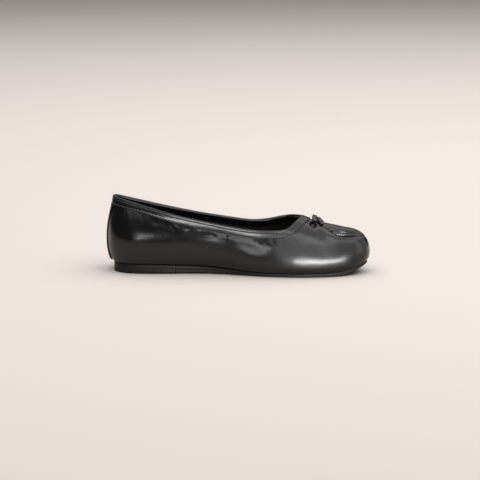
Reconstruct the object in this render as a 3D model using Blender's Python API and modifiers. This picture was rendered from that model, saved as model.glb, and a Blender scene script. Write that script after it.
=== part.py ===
"""Ballet flat, left shoe, standing empty on its sole.

Metres, +Z up, toe along +X, inner side of the foot along -Y. The floor is at z = 0.

The upper is one hollow wall. Its surface runs through sections placed round the shoe, from the back of the
heel along each side to the toe. A section starts under the foot at the lasting margin, turns out over the
edge of the sole, passes its widest point and ends at the topline. Sole, heel, insole, binding and heel
strip take their shape from the same sections.
"""

import math
from collections import namedtuple

import bmesh
import bpy
import numpy as np
from mathutils import Matrix, Vector

# Sizes of the last
SHOE_LENGTH = 0.250
BALL_WIDTH = 0.078
BACK_HEIGHT = 0.0704
TOPLINE_LOW = 0.0420
INSTEP_HEIGHT = 0.0521
WALL = 0.0018
CLEARANCE = 0.0003
LASTING_MARGIN = 0.0035

# Sole and heel
HEEL_HEIGHT = 0.0090
SOLE_THICKNESS = 0.0034
WAIST_LIFT = 0.0010
TOE_SPRING = 0.0095
HEEL_LENGTH = 0.0598
SOLE_BEVEL = 0.0007
INSOLE_THICKNESS = 0.0022
INSOLE_INSET = 0.0030

# Gathers
FOLD_HEIGHT = 0.0010
FOLD_WIDTH = 0.0042

# Overlays
BINDING_WIDTH = 0.0074
BINDING_INSIDE = 0.0065
BINDING_THICKNESS = 0.0009
STRIP_HALF_WIDTH = 0.0052
STRIP_TOP_SPREAD = 0.0062
STRIP_FOOT_SPREAD = 0.0070
STRIP_THICKNESS = 0.0007

# Bow of flat leather cord
CORD_WIDTH = 0.0034
CORD_THICKNESS = 0.0022
BOW_SETBACK = 0.0122
KNOT_DEPTH = 0.0064
KNOT_WIDTH = 0.0056
KNOT_HEIGHT = 0.0050
LOOP_LENGTH = 0.0105
LOOP_GAP = 0.0023
LOOP_BACK = 0.0010
LOOP_DROP = 0.0018
END_LENGTH = 0.0108
END_FORWARD = 0.0024
END_SPREAD = 0.0018
END_DROP = 0.0014

# Mesh densities
SIDE_COLUMNS = 25
TOE_COLUMNS = 18
TURN_STEPS = 3
SIDE_STEPS = 11
PLATE_ROWS = 26
PLATE_COLUMNS = 4
FINE_STEPS = 60
LOOP_TURN_STEPS = 6

HALF_BALL = BALL_WIDTH / 2
BACK_RISE = BACK_HEIGHT - TOPLINE_LOW
INSTEP_RISE = INSTEP_HEIGHT - TOPLINE_LOW
MEDIAL, LATERAL = -1, 1

# Edge of the sole, one row for each pair of sections from the heel to the toe: share of the length, and
# shares of half the ball width to the inner and the outer side
Foot = namedtuple("Foot", "x med lat")
FOOT = (
    Foot(0.0252, 0.000, 0.000),
    Foot(0.0355, 0.390, 0.390),
    Foot(0.0760, 0.620, 0.625),
    Foot(0.1520, 0.700, 0.710),
    Foot(0.2480, 0.662, 0.715),
    Foot(0.3680, 0.600, 0.733),
    Foot(0.4800, 0.695, 0.850),
    Foot(0.5920, 0.885, 1.005),
    Foot(0.6960, 0.969, 1.031),
    Foot(0.8000, 0.930, 0.935),
    Foot(0.8880, 0.775, 0.735),
    Foot(0.9520, 0.545, 0.435),
    Foot(0.9820, 0.310, 0.185),
    Foot(0.9904, 0.060, -0.060),
)

# Lower wall: how far it stands out past the sole's edge on each side, as shares of half the ball width,
# and the height of its widest line above the sole and its upright run above that, of the instep height
Wall = namedtuple("Wall", "over_med over_lat up rise")
WALL_ROWS = (
    Wall(0.162, 0.162, 0.410, 0.28),
    Wall(0.122, 0.122, 0.400, 0.28),
    Wall(0.094, 0.094, 0.375, 0.26),
    Wall(0.088, 0.084, 0.355, 0.24),
    Wall(0.112, 0.092, 0.345, 0.23),
    Wall(0.148, 0.092, 0.330, 0.21),
    Wall(0.138, 0.084, 0.245, 0.23),
    Wall(0.088, 0.068, 0.165, 0.25),
    Wall(0.062, 0.062, 0.125, 0.28),
    Wall(0.060, 0.060, 0.118, 0.34),
    Wall(0.060, 0.060, 0.120, 0.40),
    Wall(0.060, 0.060, 0.120, 0.47),
    Wall(0.062, 0.062, 0.116, 0.50),
    Wall(0.062, 0.062, 0.114, 0.50),
)

# Topline: place as shares of the length and of half the ball width, height above its lowest point as
# shares of the rise to the heel or to the instep, and the way the wall leaves it: how far it reaches
# towards the widest line, and its drop as a share of the instep height
Rim = namedtuple("Rim", "x med lat rise up_med up_lat reach drop")
RIM = (
    Rim(0.0248, 0.000, 0.000, BACK_RISE, 1.000, 1.000, 0.53, 0.27),
    Rim(0.0368, 0.195, 0.195, BACK_RISE, 0.980, 0.966, 0.50, 0.27),
    Rim(0.0744, 0.344, 0.344, BACK_RISE, 0.906, 0.860, 0.50, 0.25),
    Rim(0.1440, 0.456, 0.472, BACK_RISE, 0.754, 0.690, 0.50, 0.23),
    Rim(0.2400, 0.559, 0.595, BACK_RISE, 0.526, 0.480, 0.50, 0.21),
    Rim(0.3600, 0.641, 0.713, BACK_RISE, 0.296, 0.254, 0.50, 0.19),
    Rim(0.4720, 0.738, 0.815, BACK_RISE, 0.127, 0.081, 0.45, 0.18),
    Rim(0.5680, 0.805, 0.872, BACK_RISE, 0.035, 0.000, 0.40, 0.18),
    Rim(0.6440, 0.815, 0.812, INSTEP_RISE, 0.080, 0.335, 0.34, 0.16),
    Rim(0.6944, 0.715, 0.670, INSTEP_RISE, 0.300, 0.614, 0.46, 0.15),
    Rim(0.7230, 0.492, 0.452, INSTEP_RISE, 0.812, 0.745, 0.58, 0.20),
    Rim(0.7368, 0.272, 0.246, INSTEP_RISE, 0.970, 0.852, 0.65, 0.26),
    Rim(0.7424, 0.113, 0.108, INSTEP_RISE, 1.010, 0.942, 0.67, 0.28),
    Rim(0.7440, 0.000, 0.000, INSTEP_RISE, 1.000, 1.000, 0.67, 0.285),
)
TOE_ROW = len(RIM) - 1
FIRST_TOE_ROW = 9

# Underside of the sole along the length: shares of the waist lift and of the toe spring
Under = namedtuple("Under", "x lift spring")
UNDERSIDE = (
    Under(0.000, 1.00, 0.000),
    Under(0.260, 1.00, 0.000),
    Under(0.360, 0.80, 0.000),
    Under(0.480, 0.40, 0.000),
    Under(0.560, 0.10, 0.000),
    Under(0.610, 0.00, 0.000),
    Under(0.810, 0.00, 0.000),
    Under(0.870, 0.00, 0.070),
    Under(0.910, 0.00, 0.205),
    Under(0.950, 0.00, 0.510),
    Under(1.000, 0.00, 1.070),
)

# Top of the sole at its edge: share of the drop from the heel's height to the sole's thickness
SeatLine = namedtuple("SeatLine", "x heel")
SEAT_LINE = (
    SeatLine(0.000, 1.00),
    SeatLine(0.180, 1.00),
    SeatLine(0.276, 0.84),
    SeatLine(0.370, 0.68),
    SeatLine(0.440, 0.44),
    SeatLine(0.500, 0.20),
    SeatLine(0.580, 0.04),
    SeatLine(0.640, 0.00),
    SeatLine(1.000, 0.00),
)

# Gathers of the toe, one row for each fold, on both sides of the middle: ends as shares of the length,
# distances from the middle at both ends and halfway as shares of half the ball width, and shares of the
# fold's height (below zero for a groove) and width
Fold = namedtuple("Fold", "start end out_start out_middle out_end height width")
FOLDS = (
    Fold(0.775, 0.975, 0.16, 0.50, 0.12, 0.90, 1.00),
    Fold(0.790, 0.975, 0.05, 0.34, 0.03, -1.60, 0.55),
)


def start_empty():
    """Remove every object of the open file."""
    for thing in list(bpy.data.objects):
        bpy.data.objects.remove(thing, do_unlink=True)


class Smooth:
    """Smooth curve through rows of values at rising knots."""

    def __init__(self, knots, values):
        self.knots = np.asarray(knots, float)
        self.values = np.asarray(values, float)
        self.steps = np.diff(self.knots)
        rises = np.diff(self.values, axis=0) / self.steps[:, None]
        matrix = np.eye(len(self.knots))
        bends = np.zeros_like(self.values)
        for i in range(1, len(self.knots) - 1):
            before, after = self.steps[i - 1], self.steps[i]
            matrix[i, i - 1:i + 2] = before, 2 * (before + after), after
            bends[i] = 6 * (rises[i] - rises[i - 1])
        self.bends = np.linalg.solve(matrix, bends)

    def __call__(self, at):
        """Rows of values at each place in at."""
        at = np.atleast_1d(np.asarray(at, float))
        i = np.clip(np.searchsorted(self.knots, at, side="right") - 1, 0, len(self.steps) - 1)
        step = self.steps[i][:, None]
        after = (at - self.knots[i])[:, None]
        before = step - after
        return (
            (self.bends[i] * before**3 + self.bends[i + 1] * after**3) / (6 * step)
            + (self.values[i] / step - self.bends[i] * step / 6) * before
            + (self.values[i + 1] / step - self.bends[i + 1] * step / 6) * after
        )


UNDER_CURVE = Smooth([row.x for row in UNDERSIDE], [row[1:] for row in UNDERSIDE])
SEAT_CURVE = Smooth([row.x for row in SEAT_LINE], [row[1:] for row in SEAT_LINE])


def under_height(x):
    """Height of the sole's underside at each x."""
    rows = np.clip(UNDER_CURVE(x / SHOE_LENGTH), 0, None)
    return rows[:, 0] * WAIST_LIFT + rows[:, 1] * TOE_SPRING


def seat_height(x):
    """Height of the sole's top at each x."""
    heel = np.clip(SEAT_CURVE(x / SHOE_LENGTH)[:, 0], 0, 1)
    spring = np.clip(UNDER_CURVE(x / SHOE_LENGTH)[:, 1], 0, None)
    return SOLE_THICKNESS + heel * (HEEL_HEIGHT - SOLE_THICKNESS) + spring * TOE_SPRING


def ring_rows():
    """Rows round the shoe, from the heel along the inner side to the toe and back along the outer side."""
    rows = []
    order = [(i, MEDIAL) for i in range(TOE_ROW + 1)] + [(i, LATERAL) for i in range(TOE_ROW - 1, 0, -1)]
    for i, side in order:
        foot, wall, rim = FOOT[i], WALL_ROWS[i], RIM[i]
        inner = side == MEDIAL
        rows.append((
            foot.x * SHOE_LENGTH,
            side * (foot.med if inner else foot.lat) * HALF_BALL,
            (wall.over_med if inner else wall.over_lat) * HALF_BALL,
            wall.up * INSTEP_HEIGHT,
            wall.rise * INSTEP_HEIGHT,
            rim.x * SHOE_LENGTH,
            side * (rim.med if inner else rim.lat) * HALF_BALL,
            TOPLINE_LOW + rim.rise * (rim.up_med if inner else rim.up_lat),
            rim.reach,
            rim.drop * INSTEP_HEIGHT,
        ))
    return np.array(rows)


def round_curves(rows, spare=4):
    """Smooth curves round the shoe, with spare rows past both ends so that they close without a kink:
    length along the sole's edge for each row count, and row values for each length."""
    wrapped = np.concatenate([rows[-spare:], rows, rows[:spare + 1]])
    gaps = np.hypot(*np.diff(wrapped[:, :2], axis=0).T)
    lengths = np.concatenate([[0], np.cumsum(gaps)])
    counts = np.arange(len(wrapped)) - spare
    return Smooth(counts, lengths[:, None]), Smooth(lengths, wrapped)


ROWS = ring_rows()
LAPS = len(ROWS)
LENGTH_CURVE, ROW_CURVE = round_curves(ROWS)


def round_values(places):
    """Row values at places round the shoe, counted in rows from the heel."""
    return ROW_CURVE(LENGTH_CURVE(np.mod(places, LAPS))[:, 0])


def edge_of_sole(places, inset=0.0):
    """Points of the sole's edge in plan, moved inwards by inset, and its outward directions."""
    nudge = 0.02
    here = round_values(places)[:, :2]
    along = round_values(places + nudge)[:, :2] - round_values(places - nudge)[:, :2]
    out = np.column_stack([along[:, 1], -along[:, 0]])
    out /= np.linalg.norm(out, axis=1)[:, None]
    return here - inset * out, out


def bezier(controls, t):
    """Points of the curve with four control points, at each share t."""
    a, b, c, d = controls
    s = 1 - t
    return s**3 * a + 3 * s * s * t * b + 3 * s * t * t * c + t**3 * d


def plain_surface(places, heights):
    """Surface of the last: heights run from 0 at the margin, 1 at the sole's edge, 2 at the widest line to
    3 at the topline. Both arguments are arrays that fit each other."""
    places, heights = np.broadcast_arrays(places, heights)
    shape = places.shape
    places, heights = places.ravel(), heights.ravel()[:, None]
    rows = round_values(places)
    edge, out = edge_of_sole(places)
    over, up, rise = rows[:, 2:3], rows[:, 3:4], rows[:, 4:5]
    reach, drop = rows[:, 8:9], rows[:, 9:10]
    foot = np.column_stack([edge, seat_height(edge[:, 0]) + CLEARANCE])
    inner = edge - LASTING_MARGIN * out
    margin = np.column_stack([inner, seat_height(inner[:, 0]) + CLEARANCE])
    out = np.column_stack([out, np.zeros(len(out))])
    upright = np.array([0.0, 0.0, 1.0])
    widest = foot + over * out + up * upright
    turn = (foot, foot + 0.62 * over * out + 0.06 * up * upright, widest - 0.62 * up * upright, widest)
    rim = rows[:, 5:8]
    lead = (widest - rim) * np.array([1.0, 1.0, 0.0])
    side = (widest, widest + rise * upright, rim + reach * lead - drop * upright, rim)
    flat = margin + np.clip(heights, 0, 1) * (foot - margin)
    points = np.where(heights <= 1, flat, bezier(turn, np.clip(heights - 1, 0, 1)))
    points = np.where(heights <= 2, points, bezier(side, np.clip(heights - 2, 0, None)))
    return points.reshape(shape + (3,))


def normals_of(surface, places, heights):
    """Outward unit normals of a surface function."""
    nudge = 0.01
    around = surface(places + nudge, heights) - surface(places - nudge, heights)
    upward = surface(places, heights + nudge) - surface(places, heights - nudge)
    normal = np.cross(around, upward)
    return normal / np.linalg.norm(normal, axis=-1, keepdims=True)


def middle_line(x):
    """y of the shoe's middle over the toe, which turns towards the inner side."""
    toe_y = -FOOT[TOE_ROW].med * HALF_BALL
    throat = RIM[TOE_ROW].x * SHOE_LENGTH
    share = np.clip((x - throat) / (SHOE_LENGTH - throat), 0, 1)
    return toe_y * share**2


def fold_lift(points):
    """Height of the gathers over the plain last at each point."""
    x, y = points[..., 0], points[..., 1]
    out = np.abs(y - middle_line(x)) / HALF_BALL
    lift = np.zeros_like(x)
    for fold in FOLDS:
        along = (x / SHOE_LENGTH - fold.start) / (fold.end - fold.start)
        inside = np.clip(along, 0, 1)
        ends = fold.out_start + (fold.out_end - fold.out_start) * inside
        bow = fold.out_middle - (fold.out_start + fold.out_end) / 2
        path = ends + 4 * bow * inside * (1 - inside)
        fade = np.sin(math.pi * inside) ** 0.7
        off = (out - path) * HALF_BALL / (fold.width * FOLD_WIDTH)
        lift += fold.height * FOLD_HEIGHT * fade * np.exp(-(off**2))
    return lift


def surface(places, heights):
    """Outer surface of the upper, with the gathers of its toe."""
    points = plain_surface(places, heights)
    normal = normals_of(plain_surface, places, heights)
    top = np.clip(np.broadcast_to(heights, points.shape[:-1]) - 2, 0, 1)
    lift = fold_lift(points) * np.minimum(1, 6 * top * (1 - top))
    return points + lift[..., None] * normal


def height_at_depth(places, depth):
    """Height count of the point that lies the given depth below the topline, along each section."""
    heights = np.linspace(3, 1, FINE_STEPS)
    points = plain_surface(places[:, None], heights[None, :])
    steps = np.linalg.norm(np.diff(points, axis=1), axis=2)
    runs = np.concatenate([np.zeros((len(places), 1)), np.cumsum(steps, axis=1)], axis=1)
    return np.array([np.interp(depth, run, heights) for run in runs])


def column_places():
    """Places of the mesh columns, closer together over the gathered toe."""
    first, last = FIRST_TOE_ROW, LAPS - FIRST_TOE_ROW
    toe = np.linspace(first, last, 2 * TOE_COLUMNS + 1)
    rest = np.linspace(last, LAPS + first, 2 * SIDE_COLUMNS + 1)[1:-1]
    return np.concatenate([toe, rest])


def new_material(name, color, roughness):
    """Material of one part."""
    material = bpy.data.materials.new(name)
    material.use_nodes = True
    shader = material.node_tree.nodes["Principled BSDF"]
    shader.inputs["Base Color"].default_value = (*color, 1.0)
    shader.inputs["Roughness"].default_value = roughness
    shader.inputs["Metallic"].default_value = 0.0
    return material


def new_object(name, mesh_maker, material, collection):
    """Object with the mesh that mesh_maker leaves in a bmesh, faces pointing outwards."""
    mesh = bpy.data.meshes.new(name)
    work = bmesh.new()
    mesh_maker(work)
    bmesh.ops.remove_doubles(work, verts=work.verts[:], dist=0.000002)
    bmesh.ops.recalc_face_normals(work, faces=work.faces[:])
    work.to_mesh(mesh)
    work.free()
    mesh.shade_smooth()
    mesh.materials.append(material)
    thing = bpy.data.objects.new(name, mesh)
    collection.objects.link(thing)
    return thing


def grid_faces(work, grid, closed_rows):
    """Faces over a grid of points, closed round its first direction when closed_rows is set."""
    verts = [[work.verts.new(point) for point in row] for row in grid]
    count = len(verts)
    for i in range(count if closed_rows else count - 1):
        here, after = verts[i], verts[(i + 1) % count]
        for j in range(len(here) - 1):
            work.faces.new((here[j], after[j], after[j + 1], here[j + 1]))
    return verts


def build_upper(leather, collection):
    """Hollow upper: the outer surface with its wall's thickness inside."""
    places = column_places()
    heights = np.concatenate([
        [0], np.linspace(1, 2, TURN_STEPS, endpoint=False), np.linspace(2, 3, SIDE_STEPS + 1),
    ])
    grid = surface(places[:, None], heights[None, :])

    def make(work):
        grid_faces(work, grid, True)

    upper = new_object("upper", make, leather, collection)
    wall = upper.modifiers.new("wall", "SOLIDIFY")
    wall.thickness = WALL
    wall.offset = -1
    wall.use_even_offset = True
    return upper


def closed_loft(work, rings, close_ends):
    """Closed skin through rings of points, with flat ends unless the rings run round to the first."""
    verts = [[work.verts.new(point) for point in ring] for ring in rings]
    size = len(verts[0])
    pairs = list(zip(verts, verts[1:]))
    if not close_ends:
        pairs.append((verts[-1], verts[0]))
    for here, after in pairs:
        for j in range(size):
            k = (j + 1) % size
            work.faces.new((here[j], here[k], after[k], after[j]))
    if close_ends:
        work.faces.new(verts[0])
        work.faces.new(verts[-1][::-1])


def place_at_x(x, side):
    """Place round the shoe where the sole's edge on one side has the given x."""
    counts = np.linspace(0.0, TOE_ROW, 400)
    places = counts if side == MEDIAL else LAPS - counts
    return np.interp(x, round_values(places)[:, 0], places)


def plate_rings(start, end, inset, bottom_inset, top_of, bottom_of):
    """Cross-sections of a plate between two counts of rows, from the heel end to the toe end.

    top_of and bottom_of give heights for arrays of x. inset is taken off the sole's edge all round, and
    bottom_inset more at the lower edge.
    """
    rings = []
    shares = (1 - np.cos(np.linspace(0, math.pi, PLATE_ROWS))) / 2
    for share in 0.5 * shares + 0.5 * np.linspace(0, 1, PLATE_ROWS):
        ends = [start[k] + share * (end[k] - start[k]) for k in (0, 1)]
        top = [edge_of_sole(np.array([place]), inset)[0][0] for place in ends]
        low = [edge_of_sole(np.array([place]), inset + bottom_inset)[0][0] for place in ends]
        across = np.linspace(0, 1, PLATE_COLUMNS + 1)[:, None]
        upper_row = top[0] + across * (top[1] - top[0])
        lower_row = low[1] + across * (low[0] - low[1])
        edge_low = bottom_of(np.array([top[1][0], top[0][0]])) + bottom_inset
        ring = np.concatenate([
            np.column_stack([upper_row, top_of(upper_row[:, 0])]),
            [[*top[1], edge_low[0]]],
            np.column_stack([lower_row, bottom_of(lower_row[:, 0])]),
            [[*top[0], edge_low[1]]],
        ])
        rings.append(ring)
    return rings


def flat_zero(x):
    """Floor level at each x."""
    return np.zeros_like(x)


def build_outsole(rubber, collection):
    """Front sole from the heel's breast to the toe."""
    breast = (FOOT[0].x * SHOE_LENGTH) + HEEL_LENGTH + CLEARANCE
    start = [place_at_x(breast, side) for side in (MEDIAL, LATERAL)]
    toe = [TOE_ROW - 0.02, TOE_ROW + 0.02]
    rings = plate_rings(start, toe, 0, SOLE_BEVEL, seat_height, under_height)
    return new_object("outsole", lambda work: closed_loft(work, rings, True), rubber, collection)


def build_heel(rubber, collection):
    """Low heel block, whose breast is slightly hollow."""
    breast = (FOOT[0].x * SHOE_LENGTH) + HEEL_LENGTH
    end = [place_at_x(breast, side) for side in (MEDIAL, LATERAL)]
    rings = plate_rings([0.02, LAPS - 0.02], end, 0, SOLE_BEVEL, seat_height, flat_zero)
    return new_object("heel", lambda work: closed_loft(work, rings, True), rubber, collection)


def build_insole(lining, collection):
    """Sock that lies on the upper's lasting margin."""
    lift = WALL + 2 * CLEARANCE

    def top_of(x):
        return seat_height(x) + lift + INSOLE_THICKNESS

    def bottom_of(x):
        return seat_height(x) + lift

    rings = plate_rings([0.02, LAPS - 0.02], [TOE_ROW - 0.02, TOE_ROW + 0.02], INSOLE_INSET, 0.0004,
                        top_of, bottom_of)
    return new_object("insole", lambda work: closed_loft(work, rings, True), lining, collection)


def build_binding(leather, collection):
    """Folded band over the topline: a ring with a hairpin section round the upper's edge."""
    places = column_places()
    out_low = CLEARANCE
    out_high = CLEARANCE + BINDING_THICKNESS
    in_low = -(WALL + CLEARANCE)
    in_high = -(WALL + CLEARANCE + BINDING_THICKNESS)
    outside = [height_at_depth(places, depth) for depth in np.linspace(BINDING_WIDTH, 0, 3)]
    inside = [height_at_depth(places, depth) for depth in np.linspace(0, BINDING_INSIDE, 2)]
    over = height_at_depth(places, 0)
    normal = normals_of(surface, places, over)
    upward = surface(places, over) - surface(places, over - 0.02)
    upward /= np.linalg.norm(upward, axis=-1, keepdims=True)
    rim = surface(places, over)

    def off(heights, distance):
        return surface(places, heights) + distance * normals_of(surface, places, heights)

    def above(distance, lift):
        return rim + distance * normal + lift * upward

    middle = -WALL / 2
    section = [off(heights, out_high) for heights in outside]
    section.append(above(0.7 * out_high + 0.3 * middle, 0.75 * out_high))
    section.append(above(middle, out_high))
    section.append(above(0.7 * in_high + 0.3 * middle, 0.75 * out_high))
    section += [off(heights, in_high) for heights in inside]
    section += [off(heights, in_low) for heights in inside[::-1]]
    section.append(above(in_low, CLEARANCE))
    section.append(above(out_low, CLEARANCE))
    section += [off(heights, out_low) for heights in outside[::-1]]
    rings = np.stack(section, axis=1)
    return new_object("topline_binding", lambda work: closed_loft(work, rings, False), leather, collection)


def build_strip(leather, collection):
    """Strip over the back seam, from the sole to the binding, wider at both ends."""
    around = np.linspace(-1, 1, 11)
    depths = np.linspace(BINDING_WIDTH + 2 * CLEARANCE, BACK_HEIGHT - HEEL_HEIGHT, 12)
    back = round_values(np.array([-0.5, 0.5]))[:, :2]
    per_row = np.linalg.norm(back[1] - back[0])
    rows = []
    for depth in depths:
        share = depth / (BACK_HEIGHT - HEEL_HEIGHT)
        width = STRIP_HALF_WIDTH + STRIP_TOP_SPREAD * (1 - share) ** 3 + STRIP_FOOT_SPREAD * share**3
        places = around * width / per_row
        level = np.maximum(height_at_depth(places, depth), 1.25)
        rows.append((places, level))

    def make(work):
        grids = []
        for distance in (CLEARANCE, CLEARANCE + STRIP_THICKNESS):
            grid = [surface(p, h) + distance * normals_of(surface, p, h) for p, h in rows]
            grids.append(np.array(grid))
        rings = [np.concatenate([low, high[::-1]]) for low, high in zip(*grids)]
        closed_loft(work, rings, True)

    return new_object("heel_strip", make, leather, collection)


def bow_frame():
    """Middle of the bow's knot on the upper, with x forwards along the vamp and z away from it."""
    place = np.array([float(TOE_ROW)])
    height = height_at_depth(place, BOW_SETBACK)
    seat = Vector(surface(place, height)[0])
    normal = Vector(normals_of(surface, place, height)[0])
    forward = Vector((0.0, 1.0, 0.0)).cross(normal).normalized()
    side = normal.cross(forward)
    frame = Matrix((forward, side, normal)).transposed().to_4x4()
    frame.translation = seat + normal * (KNOT_HEIGHT / 2 + CLEARANCE)
    return frame


def cord_tube(name, points, frame, closed):
    """Mesh of the cord along points given in the bow's frame, its width lying along the foot."""
    curve = bpy.data.curves.new(name, "CURVE")
    curve.dimensions = "3D"
    curve.bevel_depth = CORD_THICKNESS / 2
    curve.bevel_resolution = 3
    curve.use_fill_caps = not closed
    line = curve.splines.new("POLY")
    line.use_cyclic_u = closed
    line.points.add(len(points) - 1)
    widen = CORD_WIDTH / CORD_THICKNESS
    for target, (x, y, z) in zip(line.points, points):
        target.co = (x / widen, y, z, 1.0)
    guide = bpy.data.objects.new(name, curve)
    bpy.context.scene.collection.objects.link(guide)
    bpy.context.view_layer.update()
    mesh = bpy.data.meshes.new_from_object(guide.evaluated_get(bpy.context.evaluated_depsgraph_get()))
    bpy.data.objects.remove(guide, do_unlink=True)
    mesh.transform(frame @ Matrix.Diagonal((widen, 1.0, 1.0, 1.0)))
    work = bmesh.new()
    work.from_mesh(mesh)
    bmesh.ops.remove_doubles(work, verts=work.verts[:], dist=0.000005)
    bmesh.ops.recalc_face_normals(work, faces=work.faces[:])
    work.to_mesh(mesh)
    work.free()
    return mesh


def loop_line():
    """Middle line of both loops, which stand on edge and droop: one closed run through the knot."""
    points = []
    half = LOOP_GAP / 2
    straight = LOOP_LENGTH - CORD_THICKNESS / 2 - half
    turn = [math.pi * (k / LOOP_TURN_STEPS - 0.5) for k in range(LOOP_TURN_STEPS + 1)]
    for side in (MEDIAL, LATERAL):
        run = [(side * straight * share, -side * half) for share in (0.1, 0.5, 0.8)]
        bend = [(side * (straight + half * math.cos(a)), side * half * math.sin(a)) for a in turn]
        points += run + bend + [(y, -z) for y, z in run[::-1]]
    return [(-LOOP_BACK, y, z - LOOP_DROP * (y / LOOP_LENGTH) ** 2) for y, z in points]


def end_line():
    """Middle line of both ends, in front of the loops."""
    points = []
    for share in np.linspace(-1, 1, 9):
        forward = END_FORWARD + END_SPREAD * abs(share) ** 1.5
        points.append((forward, END_LENGTH * share, -END_DROP * share**2))
    return points


def build_bow(cord, collection, cutters):
    """Bow tied of one cord: knot, two loops and two ends, joined."""
    frame = bow_frame()

    def make(work):
        bmesh.ops.create_uvsphere(work, u_segments=14, v_segments=10, radius=0.5)
        size = Matrix.Diagonal((KNOT_DEPTH, KNOT_WIDTH, KNOT_HEIGHT, 1.0))
        bmesh.ops.transform(work, matrix=frame @ size, verts=work.verts[:])

    bow = new_object("bow", make, cord, collection)
    for kind, points, closed in (("loops", loop_line(), True), ("ends", end_line(), False)):
        piece = bpy.data.objects.new(kind, cord_tube(kind, points, frame, closed))
        piece.hide_render = True
        piece.display_type = "WIRE"
        cutters.objects.link(piece)
        join = bow.modifiers.new(f"join_{kind}", "BOOLEAN")
        join.operation = "UNION"
        join.object = piece
    return bow


def centre_parts(groups):
    """Move every mesh so that the middle of the parts' box stands on the origin."""
    bpy.context.view_layer.update()
    graph = bpy.context.evaluated_depsgraph_get()
    points = []
    for part in groups[0].objects:
        mesh = part.evaluated_get(graph).data
        points += [vert.co for vert in mesh.vertices]
    low, high = np.min(points, axis=0), np.max(points, axis=0)
    middle = Vector((-(low[0] + high[0]) / 2, -(low[1] + high[1]) / 2, -low[2]))
    for group in groups:
        for part in group.objects:
            part.data.transform(Matrix.Translation(middle))


def main():
    """Build every part of the shoe."""
    start_empty()
    parts = bpy.data.collections.new("ballet_flat")
    cutters = bpy.data.collections.new("cutters")
    for group in (parts, cutters):
        bpy.context.scene.collection.children.link(group)
    leather = new_material("black_calf_leather", (0.012, 0.012, 0.013), 0.32)
    trim = new_material("black_binding_leather", (0.014, 0.014, 0.015), 0.36)
    lining = new_material("dark_lining", (0.020, 0.018, 0.017), 0.7)
    rubber = new_material("black_rubber", (0.022, 0.020, 0.017), 0.55)
    cord = new_material("black_leather_cord", (0.016, 0.016, 0.016), 0.45)
    build_outsole(rubber, parts)
    build_heel(rubber, parts)
    build_upper(leather, parts)
    build_insole(lining, parts)
    build_binding(trim, parts)
    build_strip(trim, parts)
    build_bow(cord, parts, cutters)
    centre_parts((parts, cutters))


main()
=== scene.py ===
"""Ballet flat, left shoe, dressed for a studio photograph.

Metres, +Z up, toe along +X, inner side of the foot along -Y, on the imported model's origin. Every leather
piece lies on one surface, that of the last, which is worked out here from the shoe's own sizes. A place is
counted round the shoe from the back of the heel, over the inner side to the toe and back over the outer
side. A level runs up the wall: 0 at the lasting margin, 1 at the sole's edge, 2 at the widest line and 3 at
the topline.
"""

from __future__ import annotations

import logging
import math
from dataclasses import dataclass, field
from enum import Enum
from typing import Callable, NamedTuple, Sequence

import bmesh
import bpy
import numpy as np
from mathutils import Matrix, Quaternion, Vector


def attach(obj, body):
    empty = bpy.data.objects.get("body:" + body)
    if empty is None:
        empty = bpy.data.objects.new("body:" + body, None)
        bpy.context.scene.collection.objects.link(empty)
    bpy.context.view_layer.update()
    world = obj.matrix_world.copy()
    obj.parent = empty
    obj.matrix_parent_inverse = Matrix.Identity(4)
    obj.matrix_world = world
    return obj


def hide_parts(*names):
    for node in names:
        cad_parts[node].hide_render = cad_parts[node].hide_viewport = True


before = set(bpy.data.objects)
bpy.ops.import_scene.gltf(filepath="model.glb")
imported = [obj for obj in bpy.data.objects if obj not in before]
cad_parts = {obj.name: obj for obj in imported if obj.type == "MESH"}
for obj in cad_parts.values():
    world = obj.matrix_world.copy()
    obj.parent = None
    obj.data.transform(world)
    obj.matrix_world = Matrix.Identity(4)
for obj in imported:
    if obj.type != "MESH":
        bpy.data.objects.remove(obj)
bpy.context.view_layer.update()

log = logging.getLogger("ballet_flat")

MM = 0.001
UP = np.array([0.0, 0.0, 1.0])

Shape = Callable[[np.ndarray, np.ndarray], np.ndarray]


class Side(Enum):
    """Side of the shoe, with its sign along Y."""

    INNER = -1
    OUTER = 1


class Reach(Enum):
    """What a light reaches: all, or only gloss, as a small reflector card near the shoe does."""

    ALL = "all"
    GLOSS = "gloss"


class Foot(NamedTuple):
    """Edge of the sole: share of the length, and shares of half the ball width to both sides."""

    x: float
    med: float
    lat: float


class Wall(NamedTuple):
    """Lower wall: how far it stands out, the height of its widest line, and its upright run above that."""

    over_med: float
    over_lat: float
    up: float
    rise: float


class Rim(NamedTuple):
    """Topline: its place, its height over the lowest point, and the way the wall leaves it."""

    x: float
    med: float
    lat: float
    climb: float
    up_med: float
    up_lat: float
    reach: float
    drop: float


class Under(NamedTuple):
    """Underside of the sole: shares of the waist's lift and of the toe spring."""

    x: float
    lift: float
    spring: float


class Seat(NamedTuple):
    """Top of the sole at its edge: share of the drop from the heel to the front sole."""

    x: float
    heel: float


HEEL_CLIMB = 0.0284
INSTEP_CLIMB = 0.0101

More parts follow.
